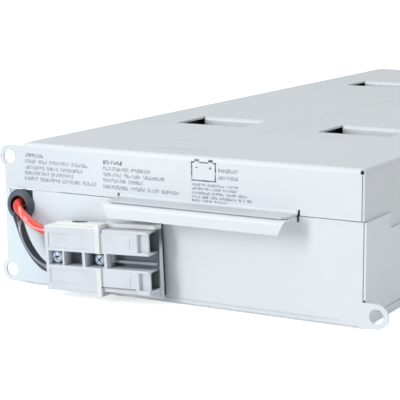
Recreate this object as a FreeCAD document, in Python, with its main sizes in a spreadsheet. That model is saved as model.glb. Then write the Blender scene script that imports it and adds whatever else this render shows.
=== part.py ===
"""Battery cartridge for an uninterruptible power supply.

A folded steel tray and cover hold ten sealed 12 V blocks that lie on their sides in two
columns of five.  The cover's front flange carries a turned-out pull lip, three ears take the
mounting screws, and two leads leave through a grommet to a two-pole connector on the front.

Millimetres, +X to the right, +Y to the back, +Z up.  The origin is the centre of the base.
"""
import FreeCAD
import Part
import Sketcher
import math
import os
import re

# Driving sizes, one named cell each
SIZES = {
    # body and sheet metal
    "body_width": 216.4,
    "body_depth": 540.0,
    "body_height": 83.0,
    "gauge": 1.2,
    "tray_bend_radius": 1.9,
    "cover_bend_radius": 2.7,
    "seam_height": 55.7,
    "seam_gap": 0.4,
    "nesting_gap": 0.1,
    "tray_side_height": 47.0,
    "tray_front_run": 33.0,
    "cover_skirt_low": 40.0,
    "panel_foot_start": 4.5,
    "panel_foot_run": 6.0,
    "side_groove_height": 5.2,
    "side_groove_size": 0.7,
    "relief_size": 2.2,
    "corner_slit": 0.5,
    # mounting ears
    "left_strip_width": 10.6,
    "ear_radius": 6.7,
    "ear_hole_diameter": 8.0,
    "ear_offset_left": 7.3,
    "ear_offset_right": 6.0,
    "ear_low_height": 7.3,
    "ear_high_height": 74.3,
    "ear_relief": 1.3,
    # pull lip: the panel's rolled tab under the cover's flat one
    "lip_start": 65.8,
    "lip_width": 111.4,
    "lip_reach": 15.0,
    "lip_drop": 8.1,
    "lip_bend_radius": 3.0,
    "lip_end_taper": 4.0,
    "lip_slit_width": 1.3,
    "lip_slit_height": 3.0,
    "shelf_start": 68.3,
    "shelf_width": 109.4,
    "shelf_reach": 13.4,
    "shelf_chamfer": 3.0,
    # windows and retaining tongues in the cover
    "window_inner_edge": 25.8,
    "window_width": 46.6,
    "window_length": 34.0,
    "tongue_front": 153.4,
    "tongue_length": 30.0,
    "tongue_side_slit": 1.4,
    # battery blocks
    "block_length": 89.0,
    "block_height": 98.0,
    "block_thickness": 70.0,
    "block_lid": 8.0,
    "block_corner": 2.0,
    "block_gap": 0.3,
    "rows_between": 3.0,
    "rear_room": 18.0,
    "floor_foam": 3.0,
    "column_divider": 0.6,
    "blade_reach": 5.0,
    "blade_width": 6.3,
    "blade_gauge": 0.8,
    "blade_from_end": 11.5,
    "blade_height": 38.0,
    "link_size": 4.0,
    "strip_width": 15.0,
    "strip_edge": 4.0,
    # grommet
    "grommet_shift": 0.9,
    "grommet_height": 45.9,
    "grommet_radius": 8.9,
    "grommet_neck_radius": 7.8,
    "grommet_hole_radius": 5.4,
    "grommet_lip": 2.6,
    "grommet_round": 1.2,
    "grommet_fit": 0.15,
    "lead_diameter": 5.0,
    "lead_split": 5.2,
    "lead_window_length": 36.0,
    # connector
    "connector_start": 30.0,
    "connector_length": 68.6,
    "connector_height": 36.6,
    "connector_thickness": 13.6,
    "connector_standoff": 4.4,
    "connector_centre": 24.9,
    "connector_rise": 3.1,
    "connector_edge": 1.2,
    "pocket_rim": 1.8,
    "ridge_gap": 3.5,
    "label_length": 24.3,
    "rib_start": 32.4,
    "rib_width": 5.2,
    "rib_proud": 1.7,
    "step_depth": 6.4,
    "step_rise": 1.8,
    "step_notch_start": 50.0,
    "step_notch_length": 16.0,
    "step_notch_depth": 2.6,
    "band_height": 7.6,
    "pocket_depth": 6.6,
    "pocket_wall": 2.2,
    "pocket_one": 9.0,
    "pocket_two": 11.4,
    "pocket_three": 12.5,
    "slot_ridge": 2.4,
    "label_recess": 0.5,
    "label_margin": 3.9,
    "shroud_length": 8.0,
    "shroud_depth": 2.0,
    "shroud_slit": 2.2,
    "mouth_depth": 14.0,
    "mouth_thickness": 7.6,
    "mouth_margin": 2.0,
    "pole_raise": 1.5,
    "contact_barrel": 7.0,
    "contact_barrel_length": 15.0,
    "contact_blade_gauge": 2.0,
    "contact_blade_width": 8.0,
    "contact_clearance": 0.3,
    "lead_socket_depth": 5.0,
    "screw_diameter": 3.4,
    "screw_head_diameter": 6.6,
    "screw_head_height": 2.4,
    "screw_first": 5.7,
    "screw_spacing": 28.8,
    "screw_clearance": 0.2,
    "spacer_radius": 3.6,
    "nut_width": 6.0,
    "nut_height": 2.6,
    # fuse block in the front bay
    "fuse_block_length": 60.0,
    "fuse_block_width": 20.0,
    "fuse_block_height": 12.0,
    "fuse_diameter": 10.3,
    "fuse_length": 38.0,
    "fuse_cap_length": 9.0,
    "fuse_block_back": 34.0,
    # bar that joins the columns
    "cross_link_back": 7.0,
    # rear screws
    "rear_screw_offset": 70.0,
    "rear_screw_height": 43.5,
    "rear_screw_reach": 4.0,
}

doc = FreeCAD.newDocument("battery_cartridge")
sheet = doc.addObject("Spreadsheet::Sheet", "Dims")
for row, (alias, value) in enumerate(SIZES.items(), start=1):
    sheet.set(f"A{row}", alias)
    sheet.set(f"B{row}", str(value))
    sheet.setAlias(f"B{row}", alias)
doc.recompute()

ALIAS_WORD = re.compile(r"\b(" + "|".join(sorted(SIZES, key=len, reverse=True)) + r")\b")
NODES = []


def size(alias):
    """The number that one cell of the sheet holds."""
    return float(sheet.get(alias))


def term(text):
    """Turn words such as body_width into references to the sheet's cells."""
    return ALIAS_WORD.sub(r"Dims.\1", str(text))


def bind(item, path, text):
    """Tie one property of an object to the sheet."""
    item.setExpression(path, term(text))


def place(item, x, y, z, turn=None):
    """Put an object's own zero at a bound point, turned by a fixed rotation."""
    if turn is not None:
        item.Placement = FreeCAD.Placement(FreeCAD.Vector(), turn)
    for axis, text in zip("xyz", (x, y, z)):
        bind(item, f"Placement.Base.{axis}", text)


ALONG_X = FreeCAD.Rotation(FreeCAD.Vector(0, 1, 0), 90)
ALONG_Y = FreeCAD.Rotation(FreeCAD.Vector(1, 0, 0), -90)
ALONG_Z = FreeCAD.Rotation()

# Places that several pieces share
FRONT = "(-body_depth / 2)"
LEFT = "(-body_width / 2)"
COVER_HALF = "(body_width / 2 - gauge - nesting_gap)"
COVER_BACK = "(body_depth / 2 - gauge - nesting_gap)"
COVER_LOW = "(seam_height + seam_gap)"
CONNECTOR_LEFT = f"({LEFT} + connector_start)"
CONNECTOR_FRONT = f"({FRONT} - connector_standoff - connector_thickness)"
CONNECTOR_BACK = f"({FRONT} - connector_standoff)"
CONNECTOR_LOW = "(connector_centre - connector_height / 2)"
CONNECTOR_AXIS = f"({FRONT} - connector_standoff - connector_thickness / 2)"
BARREL_HEIGHT = "((connector_height - band_height) / 2)"
LOWER_BARREL = f"({CONNECTOR_LOW} + {BARREL_HEIGHT} / 2)"
UPPER_BARREL = f"(connector_centre + connector_height / 2 - {BARREL_HEIGHT} / 2)"
LOWER_POLE = f"({LOWER_BARREL} + pole_raise)"
UPPER_POLE = f"({UPPER_BARREL} + pole_raise)"
GROMMET_X = f"({LEFT} + grommet_shift)"
PIVOT_X = f"({CONNECTOR_LEFT} + connector_length)"
RISE = "(connector_rise / connector_length)"
RUN = f"sqrt(1 - {RISE} ^ 2)"
BLOCK_LOW = "(gauge + floor_foam)"
ROW_SPACE = "(rows_between * block_length + gauge + 2 * block_gap)"


def block(name, x, y, z, length, width, height):
    """A box from its lowest corner."""
    box = doc.addObject("Part::Box", name)
    bind(box, "Length", length)
    bind(box, "Width", width)
    bind(box, "Height", height)
    place(box, x, y, z)
    return box


def rod(name, turn, x, y, z, radius, length):
    """A cylinder from the centre of its first end."""
    cylinder = doc.addObject("Part::Cylinder", name)
    bind(cylinder, "Radius", radius)
    bind(cylinder, "Height", length)
    place(cylinder, x, y, z, turn)
    return cylinder


def hung_place(x, z):
    """Where the connector's lean takes a point: it turns about its right end's centre."""
    across = f"({x} - {PIVOT_X})"
    up = f"({z} - connector_centre)"
    return (f"({PIVOT_X} + {across} * {RUN} - {up} * {RISE})",
            f"(connector_centre + {across} * {RISE} + {up} * {RUN})")


def lean(item):
    """Turn a finished piece of the connector as the connector hangs, left end low."""
    item.Placement = FreeCAD.Placement(FreeCAD.Vector(), FreeCAD.Rotation(FreeCAD.Vector(0, -1, 0), 1))
    x, z = hung_place("0", "0")
    bind(item, "Placement.Rotation.Angle", f"asin({RISE})")
    bind(item, "Placement.Base.x", x)
    bind(item, "Placement.Base.z", z)
    return item


def fuse(name, pieces):
    """Join overlapping pieces into one."""
    joined = doc.addObject("Part::MultiFuse", name)
    joined.Shapes = pieces
    joined.Refine = True
    return joined


def cut(name, base, tools):
    """Take tools away from a base."""
    result = doc.addObject("Part::Cut", name)
    result.Base = base
    result.Tool = tools[0] if len(tools) == 1 else fuse(f"{name}_tools", tools)
    result.Refine = True
    return result


def rounding_tool(name, corner, centre, radius, length):
    """What a bend along X leaves outside it: a square bar less a round one."""
    bar = block(f"{name}_bar", *corner, length, radius, radius)
    bow = rod(f"{name}_bow", ALONG_X, *centre, radius, length)
    return cut(name, bar, [bow])


def origin_plane(body, role):
    """One of a body's own origin planes."""
    return next(item for item in body.Origin.OriginFeatures if item.Role == role)


def rectangle(body, name, role, offset, left, low, width, height):
    """A bound rectangle on an origin plane, moved along the plane's normal by offset."""
    sketch = body.newObject("Sketcher::SketchObject", name)
    sketch.AttachmentSupport = [(origin_plane(body, role), "")]
    sketch.MapMode = "FlatFace"
    bind(sketch, "AttachmentOffset.Base.x", left)
    bind(sketch, "AttachmentOffset.Base.y", low)
    bind(sketch, "AttachmentOffset.Base.z", offset)
    corners = [FreeCAD.Vector(*point) for point in ((0, 0, 0), (9, 0, 0), (9, 5, 0), (0, 5, 0))]
    for index in range(4):
        line = Part.LineSegment(corners[index], corners[(index + 1) % 4])
        sketch.addGeometry(line, False)
    for index in range(4):
        sketch.addConstraint(Sketcher.Constraint("Coincident", index, 2, (index + 1) % 4, 1))
    for index in (0, 2):
        sketch.addConstraint(Sketcher.Constraint("Horizontal", index))
        sketch.addConstraint(Sketcher.Constraint("Vertical", index + 1))
    sketch.addConstraint(Sketcher.Constraint("Coincident", 0, 1, -1, 1))
    wide = sketch.addConstraint(Sketcher.Constraint("DistanceX", 0, 1, 0, 2, 9))
    high = sketch.addConstraint(Sketcher.Constraint("DistanceY", 1, 1, 1, 2, 5))
    bind(sketch, f"Constraints[{wide}]", width)
    bind(sketch, f"Constraints[{high}]", height)
    return sketch


def pad(body, name, sketch, length, backwards=False):
    """Raise a sketch into a solid."""
    feature = body.newObject("PartDesign::Pad", name)
    feature.Profile = sketch
    feature.Reversed = backwards
    bind(feature, "Length", length)
    doc.recompute()
    return feature


def ease_edges(body, name, base, chosen, amount, kind="Fillet"):
    """Fillet or chamfer the edges of the last feature that the test picks."""
    names = [f"Edge{number}" for number, edge in enumerate(base.Shape.Edges, 1) if chosen(edge)]
    feature = body.newObject(f"PartDesign::{kind}", name)
    feature.Base = (base, names)
    bind(feature, "Radius" if kind == "Fillet" else "Size", amount)
    doc.recompute()
    return feature


def runs_along(edge, axis):
    """Whether a straight edge runs along one axis."""
    if not isinstance(edge.Curve, Part.Line):
        return False
    return abs(abs(getattr(edge.Curve.Direction, axis)) - 1) < 1e-6


def at_height(edge, height):
    """Whether a whole edge lies at one height."""
    return all(abs(vertex.Z - height) < 1e-6 for vertex in edge.Vertexes)


def is_rear_upright(edge):
    """Whether an edge stands upright behind the middle."""
    return runs_along(edge, "z") and edge.CenterOfMass.y > 0


def finish(item, label):
    """Name a finished sub-part."""
    item.Label = label
    NODES.append(item)
    return item


def sheet_tub(name, half_width, front, back, low, high, open_face, radius):
    """A folded sheet box: solid, rounded along its closed end and rear corners, then hollowed."""
    body = doc.addObject("PartDesign::Body", name)
    width = f"2 * {half_width}"
    outline = rectangle(body, f"{name}_outline", "XY_Plane", low, f"-{half_width}", front,
                        width, f"{back} - {front}")
    solid = pad(body, f"{name}_solid", outline, f"{high} - {low}")
    closed_end = solid.Shape.BoundBox.ZMin if open_face == "top" else solid.Shape.BoundBox.ZMax
    rounded = ease_edges(body, f"{name}_bends", solid,
                         lambda edge: at_height(edge, closed_end) or is_rear_upright(edge), radius)
    open_height = solid.Shape.BoundBox.ZMax if open_face == "top" else solid.Shape.BoundBox.ZMin
    number = next(number for number, face in enumerate(rounded.Shape.Faces, 1)
                  if abs(face.CenterOfMass.z - open_height) < 1e-6)
    wall = body.newObject("PartDesign::Thickness", f"{name}_wall")
    wall.Base = (rounded, [f"Face{number}"])
    wall.Reversed = True
    bind(wall, "Value", "gauge")
    doc.recompute()
    return body


def count_rows():
    """Rows of blocks that fit between the front bay and the room kept at the rear."""
    length = size("block_length")
    bay = size("tongue_front") - length
    return int((size("body_depth") - bay - size("rear_room")) // length)


def row_front(row):
    """Where a row of blocks starts: one row lies before the first tongues, the rest behind."""
    between = int(size("rows_between"))
    if row == 0:
        return f"({FRONT} + tongue_front - block_gap - block_length)"
    if row <= between:
        return f"({FRONT} + tongue_front + gauge + block_gap + {row - 1} * block_length)"
    return (f"({FRONT} + tongue_front + {ROW_SPACE} + gauge + block_gap"
            f" + {row - between - 1} * block_length)")


def left_ear(name, height):
    """Round end of a left ear, in the plane of the front panel."""
    return rod(name, ALONG_Y, f"{LEFT} - ear_offset_left", FRONT, height, "ear_radius", "gauge")


def ear_hole(name, x, height):
    """Clearance hole through an ear."""
    return rod(name, ALONG_Y, x, f"{FRONT} - 1", height, "ear_hole_diameter / 2", "gauge + 2")


def build_tray():
    """Tray: a shallow folded box, open at the front where the panel is welded in."""
    tub = sheet_tub("tray_tub", "body_width / 2", FRONT, "body_depth / 2", "0", "seam_height",
                    "top", "tray_bend_radius")
    front_wall = block("tray_front_wall", f"{LEFT} - 1", f"{FRONT} - 1", "-1",
                       "body_width - gauge + 1", "gauge + 1", "seam_height + 2")
    floor_front = block("tray_floor_front", f"{LEFT} + tray_bend_radius", f"{FRONT} - 1", "-1",
                        "body_width - 2 * tray_bend_radius", "panel_foot_run + 1", "gauge + 2")
    step = block("tray_side_step", f"{LEFT} - 2", f"{FRONT} + tray_front_run", "tray_side_height",
                 "body_width + 4", "body_depth", "seam_height")
    lead_window = block("tray_lead_window", f"{LEFT} - 1", FRONT, "grommet_height - 12",
                        "gauge + 2", "lead_window_length", "seam_height")
    ear_notch = block("tray_ear_notch", "body_width / 2 - gauge - 1", f"{FRONT} - 1", "-1",
                      "gauge + 2", "gauge + 1 + corner_slit",
                      "ear_low_height + ear_radius + ear_relief + 1")
    tools = [front_wall, floor_front, step, lead_window, ear_notch]
    for side, x in (("left", f"{LEFT} - 1"), ("right", "body_width / 2 - side_groove_size")):
        tools.append(block(f"tray_{side}_groove", x, f"{FRONT} + 16", "side_groove_height",
                           "side_groove_size + 1", "body_depth - 32", "side_groove_size"))
    for index, side in enumerate((-1, 1)):
        tools.append(rod(f"tray_rear_hole_{index + 1}", ALONG_Y, f"{side} * rear_screw_offset",
                         "body_depth / 2 - gauge - 1", "rear_screw_height",
                         "screw_diameter / 2 + screw_clearance", "gauge + 2"))
    return finish(cut("tray_sheet", tub, tools), "tray")


def build_pull_tab():
    """Rolled tab of the panel: turned out, run forward and rolled down at its front."""
    x = f"({LEFT} + lip_start)"
    tip = f"({FRONT} - lip_reach)"
    inner = "(lip_bend_radius - gauge)"
    shelf = block("tab_shelf", x, tip, "seam_height - gauge", "lip_width", "lip_reach + gauge",
                  "gauge")
    face = block("tab_face", x, tip, "seam_height - lip_drop", "lip_width", "gauge", "lip_drop")
    bend = (f"{FRONT} - gauge", "seam_height - 2 * gauge")
    root = rounding_tool("tab_root", (x, *bend), (x, *bend), "gauge", "lip_width")
    roll = (f"{tip} + lip_bend_radius", "seam_height - lip_bend_radius")
    inside = rounding_tool("tab_inside", (x, f"{tip} + gauge", roll[1]), (x, *roll), inner,
                           "lip_width")
    folded = fuse("tab_folded", [shelf, face, root, inside])
    outside = rounding_tool("tab_outside", (f"{x} - 1", tip, roll[1]), (f"{x} - 1", *roll),
                            "lip_bend_radius", "lip_width + 2")
    tapers = []
    for name, end, reach in (("tab_left_taper", x, "lip_end_taper"),
                             ("tab_right_taper", f"{x} + lip_width", "-lip_end_taper")):
        wedge = doc.addObject("Part::Wedge", name)
        low_side, high_side = ("Xmin", "Xmax") if reach.startswith("-") else ("Xmax", "Xmin")
        bind(wedge, low_side, reach)
        bind(wedge, high_side, "0")
        for path, text in (("X2min", "0"), ("X2max", "0"), ("Ymin", "0"), ("Ymax", "lip_drop"),
                           ("Zmin", "-1"), ("Zmax", "gauge + 2"), ("Z2min", "-1"),
                           ("Z2max", "gauge + 2")):
            bind(wedge, path, text)
        place(wedge, end, f"{tip} + gauge + 1", "seam_height - lip_drop",
              FreeCAD.Rotation(FreeCAD.Vector(1, 0, 0), 90))
        tapers.append(wedge)
    return cut("pull_tab", folded, [outside] + tapers)


def build_front_panel():
    """Lower front panel: ears, the grommet's slot, the pull tab and a foot under the floor's edge."""
    right = "(body_width / 2 - gauge - corner_slit)"
    ear_foot = "(ear_low_height - ear_radius)"
    plate = block("panel_plate", f"{LEFT} - ear_offset_left", FRONT, ear_foot,
                  f"{right} - {LEFT} + ear_offset_left", "gauge", f"seam_height - {ear_foot}")
    strip = block("panel_strip", f"{LEFT} - left_strip_width", FRONT, "ear_low_height",
                  "left_strip_width", "gauge", "seam_height - ear_low_height")
    foot = block("panel_foot", f"{LEFT} + panel_foot_start", FRONT, "0",
                 f"{right} - relief_size - {LEFT} - panel_foot_start", "panel_foot_run",
                 "tray_bend_radius")
    low_ear = left_ear("panel_left_ear", "ear_low_height")
    right_tab = block("panel_right_tab", f"{right} - 1", FRONT, ear_foot,
                      "ear_offset_right + gauge + corner_slit + 1", "gauge", "2 * ear_radius")
    right_ear = rod("panel_right_ear", ALONG_Y, "body_width / 2 + ear_offset_right", FRONT,
                    "ear_low_height", "ear_radius", "gauge")
    folded = fuse("panel_folded", [plate, strip, foot, low_ear, right_tab, right_ear,
                                   build_pull_tab()])

    bend = rounding_tool("panel_bend", (f"{LEFT} - 0.2", FRONT, "0"),
                         (f"{LEFT} - 0.2", f"{FRONT} + tray_bend_radius", "tray_bend_radius"),
                         "tray_bend_radius", f"{right} - {LEFT} - relief_size + 0.2")
    foot_top = block("panel_foot_top", f"{LEFT}", f"{FRONT} + gauge", "gauge",
                     "body_width", "panel_foot_run", "tray_bend_radius")
    x = f"({LEFT} + lip_start)"
    back_bend = (f"{FRONT} - gauge", "seam_height - 2 * gauge")
    slot = "(grommet_neck_radius + grommet_fit)"
    holes = [
        bend,
        foot_top,
        rounding_tool("tab_back", (x, *back_bend), (x, *back_bend), "2 * gauge", "lip_width"),
        ear_hole("panel_left_hole", f"{LEFT} - ear_offset_left", "ear_low_height"),
        ear_hole("panel_right_hole", "body_width / 2 + ear_offset_right", "ear_low_height"),
        rod("grommet_slot_round", ALONG_Y, GROMMET_X, f"{FRONT} - 1", "grommet_height", slot,
            "gauge + 2"),
        block("grommet_slot_mouth", f"{GROMMET_X} - {slot}", f"{FRONT} - 1", "grommet_height",
              f"2 * {slot}", "gauge + 2", "seam_height"),
    ]
    for index, start in enumerate((f"{x} - lip_slit_width", f"{x} + lip_width")):
        holes.append(block(f"tab_slit_{index + 1}", start, f"{FRONT} - 1",
                           "seam_height - lip_slit_height", "lip_slit_width", "gauge + 2",
                           "lip_slit_height + 1"))
    for index in range(2):
        screw = hung_place(f"({CONNECTOR_LEFT} + screw_first + {index} * screw_spacing)",
                           "connector_centre")
        holes.append(rod(f"panel_screw_hole_{index + 1}", ALONG_Y, screw[0], f"{FRONT} - 1",
                         screw[1], "screw_diameter / 2 + screw_clearance", "gauge + 2"))
    return finish(cut("panel_sheet", folded, holes), "front_panel")


def build_shelf():
    """Flat tab of the cover's flange: turned out over the panel's tab, its corners cut off."""
    x = f"({LEFT} + shelf_start)"
    top = f"({COVER_LOW} + gauge)"
    tip = f"({FRONT} - shelf_reach)"
    flat = block("shelf_flat", x, tip, COVER_LOW, "shelf_width", "shelf_reach + gauge", "gauge")
    bend = (f"{FRONT} - gauge", top)
    centre = (x, f"{FRONT} - gauge", f"{top} + gauge")
    root = rounding_tool("shelf_root", (x, *bend), centre, "gauge", "shelf_width")
    corners = []
    for name, start, turn in (("left", (f"{x} + shelf_chamfer", tip), 135),
                              ("right", (f"{x} + shelf_width", f"{tip} + shelf_chamfer"), 225)):
        corner = doc.addObject("Part::Box", f"shelf_{name}_corner")
        bind(corner, "Length", "2 * shelf_chamfer")
        bind(corner, "Width", "2 * shelf_chamfer")
        bind(corner, "Height", "gauge + 2")
        place(corner, *start, f"{COVER_LOW} - 1", FreeCAD.Rotation(FreeCAD.Vector(0, 0, 1), turn))
        corners.append(corner)
    return cut("shelf", fuse("shelf_folded", [flat, root]), corners)


def build_tongue(number, x, y):
    """Retaining tongue: the metal of one window, turned down at the window's back edge."""
    name = f"tongue_{number}"
    left = f"({x} + tongue_side_slit)"
    width = "(window_width - 2 * tongue_side_slit)"
    leg = block(f"{name}_leg", left, y, "body_height - tongue_length", width, "gauge",
                "tongue_length")
    cap = block(f"{name}_cap", left, y, "body_height - gauge", width, "2.2 * gauge", "gauge")
    turned = fuse(f"{name}_turned", [leg, cap])
    bend = rounding_tool(f"{name}_bend", (left, y, "body_height - 1.8 * gauge"),
                         (left, f"{y} + 1.8 * gauge", "body_height - 1.8 * gauge"),
                         "1.8 * gauge", width)
    return cut(name, turned, [bend])


def build_cover():
    """Cover: top, skirts that nest inside the tray, and the front flange with lip and ear."""
    tub = sheet_tub("cover_tub", COVER_HALF, FRONT, COVER_BACK, "cover_skirt_low",
                    "body_height", "bottom", "cover_bend_radius")
    wide = "body_width + 2"
    tools = [
        block("flange_end", f"{LEFT} - 1", f"{FRONT} - 1", "cover_skirt_low - 1", wide,
              "2 * gauge + 2", f"{COVER_LOW} - cover_skirt_low + 1"),
        block("cover_lead_window", f"{LEFT} - 1", f"{FRONT} - 1", "cover_skirt_low - 1",
              "gauge + 4", "lead_window_length + 1", f"{COVER_LOW} - cover_skirt_low + 1"),
        block("cover_corner_slit", f"{COVER_HALF} - gauge - corner_slit", f"{FRONT} - 1",
              f"{COVER_LOW} - 1", "corner_slit", "gauge + 1.3", f"body_height - {COVER_LOW} - 1"),
        block("cover_right_relief", f"{COVER_HALF} - gauge / 2 - relief_size", f"{FRONT} - 1",
              "body_height - 0.5 - relief_size", "relief_size", "relief_size + 1", "relief_size"),
        block("cover_left_relief", f"{LEFT} - 1", f"{FRONT} - 1", "ear_high_height + ear_radius - 0.4",
              "relief_size + 2", "relief_size + 1", "body_height"),
    ]
    windows = []
    tongues = []
    for row in range(2):
        back_edge = f"({FRONT} + tongue_front + {row} * {ROW_SPACE})"
        for side, x in (("left", "(-window_inner_edge - window_width)"),
                        ("right", "window_inner_edge")):
            number = len(windows) + 1
            windows.append(block(f"window_{number}", x, f"{back_edge} - window_length",
                                 "body_height - 5", "window_width",
                                 "window_length + 1.8 * gauge", "9"))
            tongues.append(build_tongue(number, x, back_edge))
    shell = cut("cover_shell", tub, tools + windows)

    strip = block("cover_strip", f"{LEFT} - left_strip_width", FRONT, COVER_LOW,
                  "left_strip_width + 7", "gauge", f"ear_high_height - {COVER_LOW}")
    shoulder = block("cover_shoulder", f"{LEFT} - ear_offset_left", FRONT, COVER_LOW,
                     "ear_offset_left + 7", "gauge",
                     f"ear_high_height + ear_radius - {COVER_LOW}")
    ear = left_ear("cover_ear", "ear_high_height")
    folded = fuse("cover_folded", [shell, strip, shoulder, ear, build_shelf()] + tongues)

    x = f"({LEFT} + shelf_start)"
    under = (x, f"{FRONT} - gauge", COVER_LOW)
    under_centre = (x, f"{FRONT} - gauge", f"{COVER_LOW} + 2 * gauge")
    holes = [ear_hole("cover_ear_hole", f"{LEFT} - ear_offset_left", "ear_high_height"),
             rounding_tool("shelf_under", under, under_centre, "2 * gauge", "shelf_width")]
    for index, start in enumerate((f"{x} - lip_slit_width", f"{x} + shelf_width")):
        holes.append(block(f"shelf_slit_{index + 1}", start, f"{FRONT} - 1", f"{COVER_LOW} - 1",
                           "lip_slit_width", "gauge + 2", "lip_slit_height + 1"))
    for index, side in enumerate((-1, 1)):
        holes.append(rod(f"cover_rear_hole_{index + 1}", ALONG_Y, f"{side} * rear_screw_offset",
                         f"{COVER_BACK} - gauge - 1", "rear_screw_height",
                         "screw_diameter / 2 + screw_clearance", "gauge + 2"))
    return finish(cut("cover_sheet", folded, holes), "cover")


def build_block(column, row):
    """One sealed block on its side: case towards the middle, lid and blades outwards."""
    tag = f"{column}_{row + 1}"
    sign = 1 if column == "right" else -1
    turn = FreeCAD.Rotation(FreeCAD.Vector(0, 0, 1), 0 if sign == 1 else 180)
    start = row_front(row) if sign == 1 else f"({row_front(row)} + block_length)"
    base = f"{sign} * column_divider / 2"
    for part_name, first, length in (("case", "0", "block_height - block_lid"),
                                     ("lid", "block_height - block_lid", "block_lid")):
        body = doc.addObject("PartDesign::Body", f"{part_name}_{tag}")
        inset = "0" if part_name == "case" else "0.4"
        outline = rectangle(body, f"{part_name}_{tag}_outline", "YZ_Plane", first, inset, inset,
                            f"block_length - 2 * {inset}", f"block_thickness - 2 * {inset}")
        solid = pad(body, f"{part_name}_{tag}_solid", outline, length)
        ease_edges(body, f"{part_name}_{tag}_corners", solid,
                   lambda edge: runs_along(edge, "x"), "block_corner", "Chamfer")
        place(body, base, start, BLOCK_LOW, turn)
        finish(body, f"battery_{part_name}_{tag}")


def blade_places(column, row):
    """The two blades of a block, as bound places of each blade's lowest corner."""
    sign = 1 if column == "right" else -1
    inner = "(column_divider / 2 + block_height)"
    x = inner if sign == 1 else f"(-{inner} - blade_reach)"
    low = f"({BLOCK_LOW} + blade_height)"
    first = f"({row_front(row)} + blade_from_end - blade_width / 2)"
    last = f"({row_front(row)} + block_length - blade_from_end - blade_width / 2)"
    return [(x, first, low), (x, last, low)]


def group(label, pieces):
    """Identical loose pieces kept as separate solids of one node."""
    bundle = doc.addObject("Part::Compound", f"{label}_group")
    bundle.Links = pieces
    return finish(bundle, label)


def build_links():
    """Terminal blades and the short links that put each column in series."""
    blades = []
    links = []
    for column in ("left", "right"):
        for row in range(ROWS):
            places = blade_places(column, row)
            for index, (x, y, z) in enumerate(places):
                blades.append(block(f"blade_{column}_{row + 1}_{index + 1}", x, y, z,
                                    "blade_reach", "blade_width", "blade_gauge"))
            if row == ROWS - 1:
                continue
            x, y, z = places[1]
            after = blade_places(column, row + 1)[0][1]
            links.append(block(f"link_{column}_{row + 1}", f"{x} + (blade_reach - link_size) / 2", y,
                               f"{z} + blade_gauge", "link_size", f"{after} - {y} + blade_width",
                               "link_size"))
    group("terminal_blades", blades)
    group("series_links", links)


def build_foams():
    """Foam under, over and behind the blocks, the sheet between the columns and the bay wall."""
    inner_half = f"({COVER_HALF} - gauge - block_gap)"
    row_end = f"({row_front(ROWS - 1)} + block_length)"
    run = f"({row_end} - {row_front(0)})"
    base = block("foam_base", f"-{inner_half}", row_front(0), "gauge", f"2 * {inner_half}", run,
                 "floor_foam")
    finish(base, "floor_foam_sheet")
    divider = block("divider_sheet", "-column_divider / 2 + 0.1", row_front(0), BLOCK_LOW,
                    "column_divider - 0.2", run, "block_thickness - 1")
    finish(divider, "column_divider_sheet")
    top = f"({BLOCK_LOW} + block_thickness)"
    strips = []
    for index, (sign, x) in enumerate(((-1, "window_inner_edge - strip_edge - strip_width"),
                                       (-1, "window_inner_edge + window_width + strip_edge"),
                                       (1, "window_inner_edge - strip_edge - strip_width"),
                                       (1, "window_inner_edge + window_width + strip_edge"))):
        left = x if sign == 1 else f"-({x}) - strip_width"
        strips.append(block(f"strip_{index + 1}", left, row_front(0), top, "strip_width", run,
                            f"body_height - gauge - {top} - block_gap"))
    group("top_foam_strips", strips)
    rear = block("rear_block", f"-{inner_half}", f"{row_end} + block_gap", "gauge",
                 f"2 * {inner_half}", f"{COVER_BACK} - gauge - {row_end} - 2 * block_gap",
                 "tray_side_height - 12")
    finish(rear, "rear_foam_block")
    wall = block("bay_board", f"-{inner_half} + 9", f"{row_front(0)} - 1.6 - block_gap", "gauge",
                 f"2 * ({inner_half} - 9)", "1.6", f"body_height - 2 * gauge - block_gap")
    finish(wall, "bay_wall")


def build_grommet():
    """Rubber grommet in the panel's open slot, held down by the cover's flange."""
    body = doc.addObject("PartDesign::Body", "grommet_flange")
    sketch = body.newObject("Sketcher::SketchObject", "grommet_outline")
    sketch.AttachmentSupport = [(origin_plane(body, "XZ_Plane"), "")]
    sketch.MapMode = "FlatFace"
    circles = (("grommet_radius", 9.0), ("grommet_hole_radius", 5.0))
    for index, (alias, start) in enumerate(circles):
        circle = Part.Circle(FreeCAD.Vector(0, 0, 0), FreeCAD.Vector(0, 0, 1), start)
        sketch.addGeometry(circle, False)
        sketch.addConstraint(Sketcher.Constraint("Coincident", index, 3, -1, 1))
        radius = sketch.addConstraint(Sketcher.Constraint("Radius", index, start))
        bind(sketch, f"Constraints[{radius}]", alias)
    solid = pad(body, "grommet_solid", sketch, "grommet_lip")
    face = solid.Shape.BoundBox.YMin
    ease_edges(body, "grommet_rounding", solid,
               lambda edge: all(abs(vertex.Y - face) < 1e-6 for vertex in edge.Vertexes),
               "grommet_round")
    place(body, GROMMET_X, FRONT, "grommet_height")
    neck = rod("grommet_neck", ALONG_Y, GROMMET_X, f"{FRONT} - 0.5", "grommet_height",
               "grommet_neck_radius", "gauge + 1")
    lip_back = rod("grommet_back", ALONG_Y, GROMMET_X, f"{FRONT} + gauge", "grommet_height",
                   "grommet_radius - 0.6", "grommet_lip - 0.6")
    crown = block("grommet_crown", f"{GROMMET_X} - grommet_neck_radius", FRONT, "grommet_height",
                  "2 * grommet_neck_radius", "gauge", "seam_height - grommet_fit - grommet_height")
    rear = fuse("grommet_rear", [neck, lip_back, crown])
    bore = rod("grommet_bore", ALONG_Y, GROMMET_X, f"{FRONT} - 1", "grommet_height",
               "grommet_hole_radius", "gauge + grommet_lip + 2")
    ring = fuse("grommet_ring", [body, cut("grommet_sleeve", rear, [bore])])
    return finish(ring, "grommet")


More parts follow.
